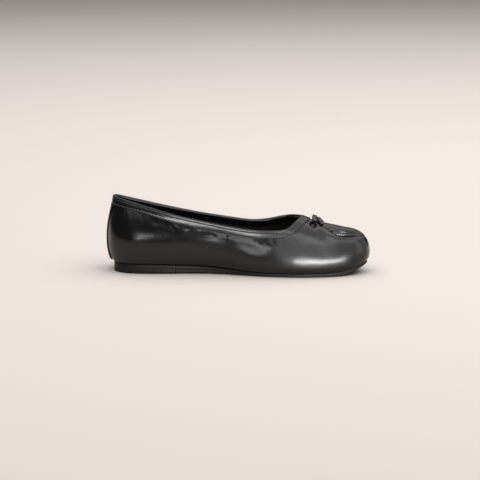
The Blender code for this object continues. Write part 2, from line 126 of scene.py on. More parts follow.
FOOT = (
    Foot(0.0252, 0.000, 0.000),
    Foot(0.0355, 0.390, 0.390),
    Foot(0.0760, 0.620, 0.625),
    Foot(0.1520, 0.700, 0.710),
    Foot(0.2480, 0.662, 0.715),
    Foot(0.3680, 0.600, 0.733),
    Foot(0.4800, 0.695, 0.850),
    Foot(0.5920, 0.885, 1.005),
    Foot(0.6960, 0.969, 1.031),
    Foot(0.8000, 0.930, 0.935),
    Foot(0.8880, 0.775, 0.735),
    Foot(0.9520, 0.545, 0.435),
    Foot(0.9820, 0.310, 0.185),
    Foot(0.9904, 0.060, -0.060),
)
WALLS = (
    Wall(0.162, 0.162, 0.410, 0.28),
    Wall(0.122, 0.122, 0.400, 0.28),
    Wall(0.094, 0.094, 0.375, 0.26),
    Wall(0.088, 0.084, 0.355, 0.24),
    Wall(0.112, 0.092, 0.345, 0.23),
    Wall(0.148, 0.092, 0.330, 0.21),
    Wall(0.138, 0.084, 0.245, 0.23),
    Wall(0.088, 0.068, 0.165, 0.25),
    Wall(0.062, 0.062, 0.125, 0.28),
    Wall(0.060, 0.060, 0.118, 0.34),
    Wall(0.060, 0.060, 0.120, 0.40),
    Wall(0.060, 0.060, 0.120, 0.47),
    Wall(0.062, 0.062, 0.116, 0.50),
    Wall(0.062, 0.062, 0.114, 0.50),
)
RIMS = (
    Rim(0.0248, 0.000, 0.000, HEEL_CLIMB, 1.000, 1.000, 0.53, 0.27),
    Rim(0.0368, 0.195, 0.195, HEEL_CLIMB, 0.980, 0.966, 0.50, 0.27),
    Rim(0.0744, 0.344, 0.344, HEEL_CLIMB, 0.906, 0.860, 0.50, 0.25),
    Rim(0.1440, 0.456, 0.472, HEEL_CLIMB, 0.754, 0.690, 0.50, 0.23),
    Rim(0.2400, 0.559, 0.595, HEEL_CLIMB, 0.526, 0.480, 0.50, 0.21),
    Rim(0.3600, 0.641, 0.713, HEEL_CLIMB, 0.296, 0.254, 0.50, 0.19),
    Rim(0.4720, 0.738, 0.815, HEEL_CLIMB, 0.127, 0.081, 0.45, 0.18),
    Rim(0.5680, 0.805, 0.872, HEEL_CLIMB, 0.035, 0.000, 0.40, 0.18),
    Rim(0.6440, 0.815, 0.812, INSTEP_CLIMB, 0.080, 0.335, 0.34, 0.16),
    Rim(0.6944, 0.715, 0.670, INSTEP_CLIMB, 0.300, 0.614, 0.46, 0.15),
    Rim(0.7230, 0.492, 0.452, INSTEP_CLIMB, 0.812, 0.745, 0.58, 0.20),
    Rim(0.7368, 0.272, 0.246, INSTEP_CLIMB, 0.970, 0.852, 0.65, 0.26),
    Rim(0.7424, 0.113, 0.108, INSTEP_CLIMB, 1.010, 0.942, 0.67, 0.28),
    Rim(0.7440, 0.000, 0.000, INSTEP_CLIMB, 1.000, 1.000, 0.67, 0.285),
)
UNDERSIDE = (
    Under(0.000, 1.00, 0.000),
    Under(0.260, 1.00, 0.000),
    Under(0.360, 0.80, 0.000),
    Under(0.480, 0.40, 0.000),
    Under(0.560, 0.10, 0.000),
    Under(0.610, 0.00, 0.000),
    Under(0.810, 0.00, 0.000),
    Under(0.870, 0.00, 0.070),
    Under(0.910, 0.00, 0.205),
    Under(0.950, 0.00, 0.510),
    Under(1.000, 0.00, 1.070),
)
SEATS = (
    Seat(0.000, 1.00),
    Seat(0.180, 1.00),
    Seat(0.276, 0.84),
    Seat(0.370, 0.68),
    Seat(0.440, 0.44),
    Seat(0.500, 0.20),
    Seat(0.580, 0.04),
    Seat(0.640, 0.00),
    Seat(1.000, 0.00),
)


class Smooth:
    """Smooth curve through rows of values at rising knots."""

    def __init__(self, knots: Sequence[float], values: Sequence) -> None:
        """Work out the bends of the curve.

        Args:
            knots: Rising places of the rows.
            values: One row of values for each knot.
        """
        self.knots = np.asarray(knots, float)
        self.values = np.asarray(values, float)
        self.steps = np.diff(self.knots)
        rises = np.diff(self.values, axis=0) / self.steps[:, None]
        matrix = np.eye(len(self.knots))
        bends = np.zeros_like(self.values)
        for i in range(1, len(self.knots) - 1):
            before, after = self.steps[i - 1], self.steps[i]
            matrix[i, i - 1:i + 2] = before, 2 * (before + after), after
            bends[i] = 6 * (rises[i] - rises[i - 1])
        self.bends = np.linalg.solve(matrix, bends)

    def __call__(self, at: np.ndarray) -> np.ndarray:
        """Rows of values.

        Args:
            at: Places, a flat array.

        Returns:
            One row for each place.
        """
        i = np.clip(np.searchsorted(self.knots, at, side="right") - 1, 0, len(self.steps) - 1)
        step = self.steps[i][:, None]
        after = (at - self.knots[i])[:, None]
        before = step - after
        return (
            (self.bends[i] * before**3 + self.bends[i + 1] * after**3) / (6 * step)
            + (self.values[i] / step - self.bends[i] * step / 6) * before
            + (self.values[i + 1] / step - self.bends[i + 1] * step / 6) * after
        )


def bezier(controls: Sequence[np.ndarray], share: np.ndarray) -> np.ndarray:
    """Points of the curve with four control points.

    Args:
        controls: The four control points, one row of each for each share.
        share: Places along the curve from 0 to 1, as a column.

    Returns:
        One point for each share.
    """
    a, b, c, d = controls
    rest = 1 - share
    return rest**3 * a + 3 * rest * rest * share * b + 3 * rest * share * share * c + share**3 * d


def unit(vectors: np.ndarray) -> np.ndarray:
    """Vectors of length 1."""
    return vectors / np.maximum(np.linalg.norm(vectors, axis=-1, keepdims=True), 1e-12)


def runs_along(line: np.ndarray) -> np.ndarray:
    """Distance of each point of a line from its first, measured along the line."""
    return np.concatenate([[0], np.cumsum(np.linalg.norm(np.diff(line, axis=0), axis=1))])


@dataclass
class Last:
    """The shoe's outer surface, as plain as the wooden last under it."""

    length: float = 0.250
    half_ball: float = 0.039
    topline_low: float = 0.0420
    instep_height: float = 0.0521
    wall: float = 0.0018
    clearance: float = 0.0003
    margin: float = 0.0035
    heel_height: float = 0.0090
    sole: float = 0.0034
    waist_lift: float = 0.0010
    toe_spring: float = 0.0095
    fullness: float = 0.62
    foot_tuck: float = 0.06
    middle: tuple[float, float] = (0.1245065, 0.0013329)
    laps: int = field(init=False)
    toe: int = field(init=False)

    def __post_init__(self) -> None:
        """Lay the sections round the shoe."""
        self.toe = len(FOOT) - 1
        self.under = Smooth([row.x for row in UNDERSIDE], [row[1:] for row in UNDERSIDE])
        self.seat = Smooth([row.x for row in SEATS], [row[1:] for row in SEATS])
        rows = np.array([self.row(i, Side.INNER) for i in range(self.toe + 1)]
                        + [self.row(i, Side.OUTER) for i in range(self.toe - 1, 0, -1)])
        self.laps = len(rows)
        spare = 4
        wrapped = np.concatenate([rows[-spare:], rows, rows[:spare + 1]])
        runs = runs_along(wrapped[:, :2])
        self.run_of = Smooth(np.arange(len(wrapped)) - spare, runs[:, None])
        self.row_at = Smooth(runs, wrapped)

    def row(self, i: int, side: Side) -> list[float]:
        """Values of one section.

        Args:
            i: Count of the table row from the heel.
            side: Side of the shoe.

        Returns:
            Sole edge (x, y), overhang, height of the widest line, upright run, rim (x, y, z), reach, drop.
        """
        foot, wall, rim = FOOT[i], WALLS[i], RIMS[i]
        inner = side is Side.INNER
        return [
            foot.x * self.length,
            side.value * (foot.med if inner else foot.lat) * self.half_ball,
            (wall.over_med if inner else wall.over_lat) * self.half_ball,
            wall.up * self.instep_height,
            wall.rise * self.instep_height,
            rim.x * self.length,
            side.value * (rim.med if inner else rim.lat) * self.half_ball,
            self.topline_low + rim.climb * (rim.up_med if inner else rim.up_lat),
            rim.reach,
            rim.drop * self.instep_height,
        ]

    def values(self, places: np.ndarray) -> np.ndarray:
        """Section values at places round the shoe, one row for each."""
        return self.row_at(self.run_of(np.mod(places, self.laps))[:, 0])

    def underside(self, x: np.ndarray) -> np.ndarray:
        """Height of the front sole's underside at each x from the heel."""
        rows = np.clip(self.under(x / self.length), 0, None)
        return rows[:, 0] * self.waist_lift + rows[:, 1] * self.toe_spring

    def top_of_sole(self, x: np.ndarray) -> np.ndarray:
        """Height of the sole's top at each x from the heel."""
        heel = np.clip(self.seat(x / self.length)[:, 0], 0, 1)
        spring = np.clip(self.under(x / self.length)[:, 1], 0, None)
        return self.sole + heel * (self.heel_height - self.sole) + spring * self.toe_spring

    def edge(self, places: np.ndarray, inset: np.ndarray | float = 0.0) -> tuple[np.ndarray, np.ndarray]:
        """Sole edge in plan.

        Args:
            places: Places round the shoe, a flat array.
            inset: Distance inwards from the edge.

        Returns:
            Points of the edge, and its outward directions.
        """
        nudge = 0.02
        along = self.values(places + nudge)[:, :2] - self.values(places - nudge)[:, :2]
        out = unit(np.column_stack([along[:, 1], -along[:, 0]]))
        return self.values(places)[:, :2] - np.reshape(inset, (-1, 1)) * out, out

    def plain(self, places: np.ndarray, levels: np.ndarray) -> np.ndarray:
        """Surface of the last.

        Args:
            places: Places round the shoe.
            levels: Levels up the wall, of the same shape.

        Returns:
            Points from the heel's own origin, in an array one dimension deeper.
        """
        shape = np.shape(places)
        places, levels = np.ravel(places), np.ravel(levels)[:, None]
        rows = self.values(places)
        edge, out = self.edge(places)
        over, up, rise = rows[:, 2:3], rows[:, 3:4], rows[:, 4:5]
        reach, drop = rows[:, 8:9], rows[:, 9:10]
        foot = np.column_stack([edge, self.top_of_sole(edge[:, 0]) + self.clearance])
        inner = edge - self.margin * out
        margin = np.column_stack([inner, self.top_of_sole(inner[:, 0]) + self.clearance])
        out = np.column_stack([out, np.zeros(len(out))])
        widest = foot + over * out + up * UP
        full, tuck = self.fullness, self.foot_tuck
        turn = (foot, foot + full * over * out + tuck * up * UP, widest - full * up * UP, widest)
        rim = rows[:, 5:8]
        lead = (widest - rim) * np.array([1.0, 1.0, 0.0])
        side = (widest, widest + rise * UP, rim + reach * lead - drop * UP, rim)
        flat = margin + np.clip(levels, 0, 1) * (foot - margin)
        points = np.where(levels <= 1, flat, bezier(turn, np.clip(levels - 1, 0, 1)))
        points = np.where(levels <= 2, points, bezier(side, np.clip(levels - 2, 0, None)))
        return points.reshape(shape + (3,))

    def normals(self, places: np.ndarray, levels: np.ndarray) -> np.ndarray:
        """Outward unit normals of the last, for arrays as plain takes them."""
        nudge = 0.01
        around = self.plain(places + nudge, levels) - self.plain(places - nudge, levels)
        upward = self.plain(places, levels + nudge) - self.plain(places, levels - nudge)
        return unit(np.cross(around, upward))

    def levels_at(self, places: np.ndarray, depths: np.ndarray) -> np.ndarray:
        """Levels of points at given depths under the topline, measured along the wall.

        Args:
            places: Places round the shoe, a flat array.
            depths: One row of depths for each place, or one row for all.

        Returns:
            One row of levels for each place.
        """
        levels = np.linspace(3, 1, 90)
        grid = np.meshgrid(places, levels, indexing="ij")
        steps = np.linalg.norm(np.diff(self.plain(*grid), axis=1), axis=2)
        runs = np.concatenate([np.zeros((len(places), 1)), np.cumsum(steps, axis=1)], axis=1)
        rows = np.broadcast_to(depths, (len(places), np.shape(depths)[-1]))
        return np.array([np.interp(row, run, levels) for row, run in zip(rows, runs)])

    def toe_middle(self, x: np.ndarray) -> np.ndarray:
        """y of the shoe's middle over the toe, which turns towards the inner side."""
        throat = RIMS[self.toe].x * self.length
        share = np.clip((x - throat) / (self.length - throat), 0, 1)
        return -FOOT[self.toe].med * self.half_ball * share**2

    def home(self, points: np.ndarray) -> np.ndarray:
        """Points moved from the heel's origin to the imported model's."""
        return points - np.array([*self.middle, 0.0])


class Knot(NamedTuple):
    """One point of a pleat: share of the length, and share of half the ball width from the middle."""

    x: float
    out: float


@dataclass(frozen=True)
class Pleat:
    """A gathered fold of the toe: its line, and how far it lifts the leather."""

    line: tuple[Knot, ...]
    height: float
    width: float
    steep: float = 1.0
    run_out: float = 0.6
    blunt: float = 1.8

    def lift(self, x: np.ndarray, out: np.ndarray, last: Last) -> np.ndarray:
        """Lift of the leather.

        Args:
            x: Distances from the heel.
            out: Distances from the middle of the toe.
            last: The last, for its sizes.

        Returns:
            Lift at each point, below zero in a groove.
        """
        knots = np.array([knot.x for knot in self.line]) * last.length
        curve = Smooth(knots, [[knot.out * last.half_ball] for knot in self.line])
        step = 0.5 * MM
        inside = np.clip(x.ravel(), knots[0], knots[-1] - step)
        line = curve(inside)[:, 0].reshape(x.shape)
        slope = curve(inside + step)[:, 0].reshape(x.shape) - line
        across = (out - line) * np.cos(np.arctan2(slope, step))
        along = np.clip((x - knots[0]) / (knots[-1] - knots[0]), 0, 1)
        fade = np.sin(math.pi * along) ** self.run_out
        width = np.where(across > 0, self.width * self.steep, self.width)
        return self.height * fade * np.exp(-np.abs(across / width) ** self.blunt)


@dataclass(frozen=True)
class Dent:
    """A soft hollow or swelling of the wall, placed by section and level."""

    place: float
    level: float
    height: float
    long: float
    tall: float
    slant: float = 0.0

    def lift(self, places: np.ndarray, levels: np.ndarray, laps: int) -> np.ndarray:
        """Lift of the leather.

        Args:
            places: Places round the shoe.
            levels: Levels up the wall.
            laps: Sections round the shoe.

        Returns:
            Lift at each point.
        """
        off = np.mod(places - self.place + laps / 2, laps) - laps / 2
        rise = levels - self.level - self.slant * off
        return self.height * np.exp(-((off / self.long) ** 2) - (rise / self.tall) ** 2)


@dataclass
class Leather:
    """The wall's relief over the last: pleats, dents and the pull of the stitches."""

    last: Last
    pleats: tuple[Pleat, ...] = (
        Pleat((Knot(0.795, 0.26), Knot(0.806, 0.45), Knot(0.8214, 0.560), Knot(0.850, 0.622),
               Knot(0.878, 0.628), Knot(0.910, 0.570), Knot(0.9476, 0.435), Knot(0.972, 0.29)),
              1.0 * MM, 1.9 * MM, 1.7),
        Pleat((Knot(0.838, 0.415), Knot(0.848, 0.472), Knot(0.858, 0.507), Knot(0.8753, 0.531),
               Knot(0.8946, 0.520), Knot(0.910, 0.485), Knot(0.9362, 0.388), Knot(0.9599, 0.276),
               Knot(0.976, 0.18)), -2.6 * MM, 1.0 * MM, 0.8),
        Pleat((Knot(0.830, 0.36), Knot(0.8521, 0.442), Knot(0.8752, 0.477), Knot(0.8986, 0.455),
               Knot(0.929, 0.375), Knot(0.970, 0.190)), 0.80 * MM, 1.0 * MM),
        Pleat((Knot(0.862, 0.40), Knot(0.8867, 0.400), Knot(0.9097, 0.350), Knot(0.9348, 0.262),
               Knot(0.9499, 0.20), Knot(0.970, 0.11)), -2.2 * MM, 0.85 * MM, 0.8),
        Pleat((Knot(0.862, 0.36), Knot(0.8865, 0.345), Knot(0.917, 0.265), Knot(0.9402, 0.17),
               Knot(0.968, 0.06)), 1.3 * MM, 0.95 * MM),
        Pleat((Knot(0.808, 0.22), Knot(0.8165, 0.318), Knot(0.8249, 0.370), Knot(0.840, 0.415),
               Knot(0.848, 0.43)), -1.5 * MM, 0.60 * MM),
        Pleat((Knot(0.850, 0.26), Knot(0.880, 0.265), Knot(0.910, 0.205), Knot(0.940, 0.105),
               Knot(0.960, 0.04)), -0.9 * MM, 0.70 * MM),
        Pleat((Knot(0.805, 0.05), Knot(0.840, 0.11), Knot(0.881, 0.12), Knot(0.930, 0.06),
               Knot(0.955, 0.01)), 0.5 * MM, 1.1 * MM),
    )
    dents: tuple[Dent, ...] = (
        Dent(3.6, 2.68, -0.35 * MM, 0.28, 0.10, 0.10),
        Dent(4.15, 2.62, -0.40 * MM, 0.20, 0.14, -0.10),
        Dent(4.7, 2.66, 0.30 * MM, 0.22, 0.12),
        Dent(5.2, 2.52, -0.45 * MM, 0.34, 0.13, 0.12),
        Dent(6.0, 2.60, 0.30 * MM, 0.30, 0.14),
        Dent(6.7, 2.42, -0.35 * MM, 0.36, 0.15, -0.10),
        Dent(7.6, 2.50, 0.30 * MM, 0.34, 0.16),
        Dent(8.8, 2.62, -0.30 * MM, 0.40, 0.12),
        Dent(1.6, 2.20, -0.35 * MM, 0.40, 0.30),
        Dent(17.6, 2.60, 0.30 * MM, 0.35, 0.15),
        Dent(18.8, 2.45, -0.40 * MM, 0.45, 0.16, 0.08),
        Dent(20.3, 2.58, 0.35 * MM, 0.40, 0.14),
        Dent(21.9, 2.50, -0.40 * MM, 0.42, 0.14, -0.08),
        Dent(23.4, 2.40, 0.30 * MM, 0.50, 0.20),
        Dent(25.0, 2.30, -0.30 * MM, 0.45, 0.25),
    )
    hollow_x: float = 0.786
    hollow_out: float = 0.38
    hollow_depth: float = 2.6 * MM
    hollow_long: float = 2.6 * MM
    hollow_wide: float = 5.0 * MM
    far_shift: float = 3.0 * MM
    far_stretch: float = 1.06
    edge_fade: float = 7.0
    pucker: float = 0.11 * MM
    pucker_level: float = 2.68
    pucker_tall: float = 0.12
    pucker_start: float = 4.6
    pucker_fade: float = 0.7

    def hollow(self, x: np.ndarray, out: np.ndarray) -> np.ndarray:
        """Depth of the hollow that the bow's stitches pull on both sides of the knot."""
        near = (x - self.hollow_x * self.last.length) / self.hollow_long
        aside = (out - self.hollow_out * self.last.half_ball) / self.hollow_wide
        return self.hollow_depth * np.exp(-(near**2) - aside**2)

    def puckers(self, places: np.ndarray, levels: np.ndarray) -> np.ndarray:
        """Lift of the small puckers under the band, at rates that never fall in step."""
        wave = 0.6 * np.sin(13.4 * places)
        wave += 0.4 * np.sin(21.7 * places + 1.3) * np.sin(3.1 * places)
        wave += 0.55 * np.sin(26.2 * places + 2 * np.sin(5.1 * places))
        from_toe = np.abs(places - self.last.toe)
        wave *= np.clip((from_toe - self.pucker_start) / self.pucker_fade, 0, 1)
        return self.pucker * wave * np.exp(-(((levels - self.pucker_level) / self.pucker_tall) ** 2))

    def surface(self, places: np.ndarray, levels: np.ndarray) -> np.ndarray:
        """Outer surface of the leather, for arrays of places and levels of one shape."""
        points = self.last.plain(places, levels)
        x, y = points[..., 0], points[..., 1]
        middle = self.last.toe_middle(x)
        out = np.abs(y - middle)
        shift = np.where(y > middle, self.far_shift, 0.0)
        stretch = np.where(y > middle, self.far_stretch, 1.0)
        lift = -self.hollow(x, out)
        for pleat in self.pleats:
            lift += pleat.lift(x - shift, out * stretch, self.last)
        top = np.clip(levels - 2, 0, 1)
        lift *= np.minimum(1, self.edge_fade * top * (1 - top))
        for dent in self.dents:
            lift += dent.lift(places, levels, self.last.laps)
        lift += self.puckers(places, levels)
        return points + lift[..., None] * self.last.normals(places, levels)


def hex_linear(code: str) -> tuple[float, float, float, float]:
    """Linear colour of an sRGB hex code such as 1a2b3c.

    Args:
        code: Six hex digits.

    Returns:
        Red, green, blue and alpha.
    """
    parts = [int(code[i:i + 2], 16) / 255 for i in (0, 2, 4)]
    linear = [c / 12.92 if c <= 0.04045 else ((c + 0.055) / 1.055) ** 2.4 for c in parts]
    return (*linear, 1.0)


def add_node(tree: bpy.types.NodeTree, kind: str, settings: dict | None = None,
             links: dict | None = None) -> bpy.types.Node:
    """Add a node with its settings and links.

    Args:
        tree: Node tree of the material.
        kind: Blender's name of the node's type.
        settings: Values by the name of a property, or else of an input socket.
        links: Output sockets by the name of the input socket that they feed.

    Returns:
        The new node.
    """
    node = tree.nodes.new(kind)
    for name, value in (settings or {}).items():
        if hasattr(node, name):
            setattr(node, name, value)
        else:
            node.inputs[name].default_value = value
    for name, source in (links or {}).items():
        tree.links.new(source, node.inputs[name])
    return node


class NewFinish(NamedTuple):
    """A new material and the parts that its finish works on."""

    material: bpy.types.Material
    tree: bpy.types.NodeTree
    shader: bpy.types.Node
    place: bpy.types.NodeSocket

    def color(self, dark: str, light: str, share: bpy.types.NodeSocket) -> None:
        """Colour the shader between two sRGB hex codes.

        Args:
            dark: Code where the share is 0.
            light: Code where the share is 1.
            share: Share of the light colour.
        """
        tone = add_node(self.tree, "ShaderNodeMix", {"data_type": "RGBA"}, {"Factor": share})
        tone.inputs["A"].default_value = hex_linear(dark)
        tone.inputs["B"].default_value = hex_linear(light)
        self.tree.links.new(tone.outputs["Result"], self.shader.inputs["Base Color"])


def start_finish(name: str) -> NewFinish:
    """Start a material.

    Args:
        name: Name of the material.

    Returns:
        The material, its node tree, its shader and the place on the piece in metres.
    """
    material = bpy.data.materials.new(name)
    material.use_nodes = True
    tree = material.node_tree
    place = add_node(tree, "ShaderNodeTexCoord").outputs["Object"]
    return NewFinish(material, tree, tree.nodes["Principled BSDF"], place)


@dataclass(frozen=True)
class GrainLeather:
    """Leather, tanned and finished with pigment and wax: a fine pebble of pores over soft unevenness.

    The wax gives a broad sheen and the pigment hides all but a trace of the hide's own cloudiness.
    """

    name: str
    dark: str
    light: str
    rough_low: float
    rough_high: float
    pore_mm: float
    pore_depth: float
    swell_mm: float = 9.0
    swell_depth: float = 0.12 * MM
    cloud_mm: float = 14.0
    worn_mm: float = 22.0
    ior: float = 1.45
    coat: float = 0.0
    coat_roughness: float = 0.18

    def make(self) -> bpy.types.Material:
        """Build the material."""
        new = start_finish(self.name)
        material, tree, shader, place = new
        cloud = add_node(tree, "ShaderNodeTexNoise", {"Scale": 1 / (self.cloud_mm * MM), "Detail": 3.0},
                         {"Vector": place})
        new.color(self.dark, self.light, cloud.outputs["Fac"])
        worn = add_node(tree, "ShaderNodeTexNoise", {"Scale": 1 / (self.worn_mm * MM), "Detail": 4.0},
                        {"Vector": place})
        rough = add_node(tree, "ShaderNodeMapRange", {
            "From Min": 0.3, "From Max": 0.7, "To Min": self.rough_low, "To Max": self.rough_high,
        }, {"Value": worn.outputs["Fac"]})
        tree.links.new(rough.outputs["Result"], shader.inputs["Roughness"])
        swell = add_node(tree, "ShaderNodeTexNoise", {"Scale": 1 / (self.swell_mm * MM), "Detail": 1.0},
                         {"Vector": place})
        broad = add_node(tree, "ShaderNodeBump", {"Strength": 1.0, "Distance": self.swell_depth},
                         {"Height": swell.outputs["Fac"]})
        pores = add_node(tree, "ShaderNodeTexVoronoi", {"Scale": 1 / (self.pore_mm * MM)},
                         {"Vector": place})
        fine = add_node(tree, "ShaderNodeBump", {"Strength": 1.0, "Distance": self.pore_depth},
                        {"Height": pores.outputs["Distance"], "Normal": broad.outputs["Normal"]})
        tree.links.new(fine.outputs["Normal"], shader.inputs["Normal"])
        shader.inputs["IOR"].default_value = self.ior
        shader.inputs["Coat Weight"].default_value = self.coat
        shader.inputs["Coat Roughness"].default_value = self.coat_roughness
        shader.inputs["Coat IOR"].default_value = self.ior
        return material


@dataclass(frozen=True)
class MouldedRubber:
    """Rubber, moulded and trimmed by a wheel: matt, dusty, with fine scratches along the edge."""

    name: str
    dark: str
    light: str
    roughness: float = 0.55
    dust_mm: float = 6.0
    scratch_mm: float = 0.8
    scratch_depth: float = 0.05 * MM
    scratch_stretch: float = 0.12
    ior: float = 1.52
    shine: float = 0.25

    def make(self) -> bpy.types.Material:
        """Build the material."""
        new = start_finish(self.name)
        material, tree, shader, place = new
        dust = add_node(tree, "ShaderNodeTexNoise", {"Scale": 1 / (self.dust_mm * MM), "Detail": 5.0},
                        {"Vector": place})
        new.color(self.dark, self.light, dust.outputs["Fac"])
        flat = self.scratch_stretch
        stretch = add_node(tree, "ShaderNodeMapping", {"vector_type": "POINT", "Scale": (flat, flat, 1.0)},
                           {"Vector": place})
        lines = add_node(tree, "ShaderNodeTexNoise", {"Scale": 1 / (self.scratch_mm * MM), "Detail": 2.0},
                         {"Vector": stretch.outputs["Vector"]})
        scratch = add_node(tree, "ShaderNodeBump", {"Strength": 1.0, "Distance": self.scratch_depth},
                           {"Height": lines.outputs["Fac"]})
        tree.links.new(scratch.outputs["Normal"], shader.inputs["Normal"])
        shader.inputs["Roughness"].default_value = self.roughness
        shader.inputs["IOR"].default_value = self.ior
        shader.inputs["Specular IOR Level"].default_value = self.shine
        return material


@dataclass(frozen=True)
class WaxedThread:
    """Polyester sewing thread, waxed: thin, round and a little shiny. Made near-black and matt, it is the
    painted shade in the needle holes.
    """

    name: str
    color: str
    roughness: float = 0.4
    shine: float = 0.5
    ply_mm: float = 0.4
    ply_depth: float = 0.05 * MM

    def make(self) -> bpy.types.Material:
        """Build the material."""
        material, tree, shader, place = start_finish(self.name)
        ply = add_node(tree, "ShaderNodeTexNoise", {"Scale": 1 / (self.ply_mm * MM), "Detail": 1.0},
                       {"Vector": place})
        twist = add_node(tree, "ShaderNodeBump", {"Strength": 0.6, "Distance": self.ply_depth},
                         {"Height": ply.outputs["Fac"]})
        tree.links.new(twist.outputs["Normal"], shader.inputs["Normal"])
        shader.inputs["Base Color"].default_value = hex_linear(self.color)
        shader.inputs["Roughness"].default_value = self.roughness
        shader.inputs["Specular IOR Level"].default_value = self.shine
        return material


@dataclass(frozen=True)
class PaintedFloor:
    """Studio floor, painted and rolled: pale, warm and nearly even."""

    name: str = "painted_studio_floor"
    color: str = "f2ece7"

    def make(self) -> bpy.types.Material:
        """Build the material."""
        material = bpy.data.materials.new(self.name)
        material.use_nodes = True
        shader = material.node_tree.nodes["Principled BSDF"]
        shader.inputs["Base Color"].default_value = hex_linear(self.color)
        shader.inputs["Roughness"].default_value = 0.8
        shader.inputs["Specular IOR Level"].default_value = 0.0
        return material


def mapped_grid(columns: np.ndarray, rows: np.ndarray, shape: Shape) -> bmesh.types.BMesh:
    """Grid whose points are moved to a shape.

    Args:
        columns: Value of each column.
        rows: Value of each row.
        shape: Gives the points for arrays of column values and row values.

    Returns:
        The bmesh, with edges that meet merged.
    """
    work = bmesh.new()
    bmesh.ops.create_grid(work, x_segments=len(columns) - 1, y_segments=len(rows) - 1, size=0.5)
    flat = np.array([vert.co for vert in work.verts]) + 0.5
    across = np.interp(flat[:, 0] * (len(columns) - 1), np.arange(len(columns)), columns)
    upward = np.interp(flat[:, 1] * (len(rows) - 1), np.arange(len(rows)), rows)
    for vert, point in zip(work.verts, shape(across, upward)):
        vert.co = point
    bmesh.ops.remove_doubles(work, verts=work.verts[:], dist=0.000002)
    return work


def close_holes(work: bmesh.types.BMesh) -> None:
    """Fill the open ends of a tube and turn its faces outwards."""
    border = [edge for edge in work.edges if edge.is_boundary]
    bmesh.ops.holes_fill(work, edges=border, sides=0)
    bmesh.ops.recalc_face_normals(work, faces=work.faces[:])


def make_piece(name: str, work: bmesh.types.BMesh, materials: Sequence[bpy.types.Material],
               nodes: Sequence[str] = ()) -> bpy.types.Object:
    """Turn a bmesh into a piece that rides on the shoe.

    Args:
        name: Name of the piece.
        work: The bmesh, freed here.
        materials: Materials of its slots.
        nodes: CAD nodes that it stands for.

    Returns:
        The new object.
    """
    mesh = bpy.data.meshes.new(name)
    work.to_mesh(mesh)
    work.free()
    mesh.shade_smooth()
    for material in materials:
        mesh.materials.append(material)
    piece = bpy.data.objects.new(name, mesh)
    bpy.context.scene.collection.objects.link(piece)
    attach(piece, "root")
    if nodes:
        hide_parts(*nodes)
    log.info("%s: %d faces", name, len(mesh.polygons))
    return piece


@dataclass
class Upper:
    """The hollow upper: one wall of calf, gathered at the toe, with its lining inside."""

    leather: Leather
    toe_reach: float = 4.2
    toe_columns: int = 480
    side_columns: int = 270
    wall_rows: int = 96
    lining_rows: int = 16

    def build(self, calf: bpy.types.Material, lining: bpy.types.Material) -> bpy.types.Object:
        """Build the wall.

        Args:
            calf: Finish of the outside.
            lining: Finish of the inside.

        Returns:
            The piece.
        """
        last = self.leather.last
        first, end = last.toe - self.toe_reach, last.toe + self.toe_reach
        places = np.concatenate([
            np.linspace(first, end, self.toe_columns),
            np.linspace(end, last.laps + first, self.side_columns)[1:],
        ])
        outside = np.concatenate([[0.0, 0.6], np.linspace(1, 2, 9)[:-1], np.linspace(2, 3, self.wall_rows)])
        inside = np.concatenate([np.linspace(3, 1, self.lining_rows), [0.0]])
        levels = np.concatenate([outside, inside, [0.0]])
        is_inside = np.concatenate([np.zeros(len(outside)), np.ones(len(inside)), [0.0]])

        def shape(place: np.ndarray, row: np.ndarray) -> np.ndarray:
            """Points of the wall, outside up and inside down."""
            k = np.rint(row).astype(int)
            outer = self.leather.surface(place, levels[k])
            inner = last.plain(place, levels[k]) - last.wall * last.normals(place, levels[k])
            return last.home(np.where(is_inside[k][:, None] > 0, inner, outer))

        work = mapped_grid(places, np.arange(len(levels)), shape)
        bmesh.ops.recalc_face_normals(work, faces=work.faces[:])
        middle = Vector(last.home(np.array([0.5 * last.length, 0.0, 0.0])))
        for face in work.faces:
            centre = face.calc_center_median()
            face.material_index = int(face.normal.dot(centre - middle) < 0 and centre.z > last.heel_height)
        return make_piece("upper_leather", work, (calf, lining), ("upper",))


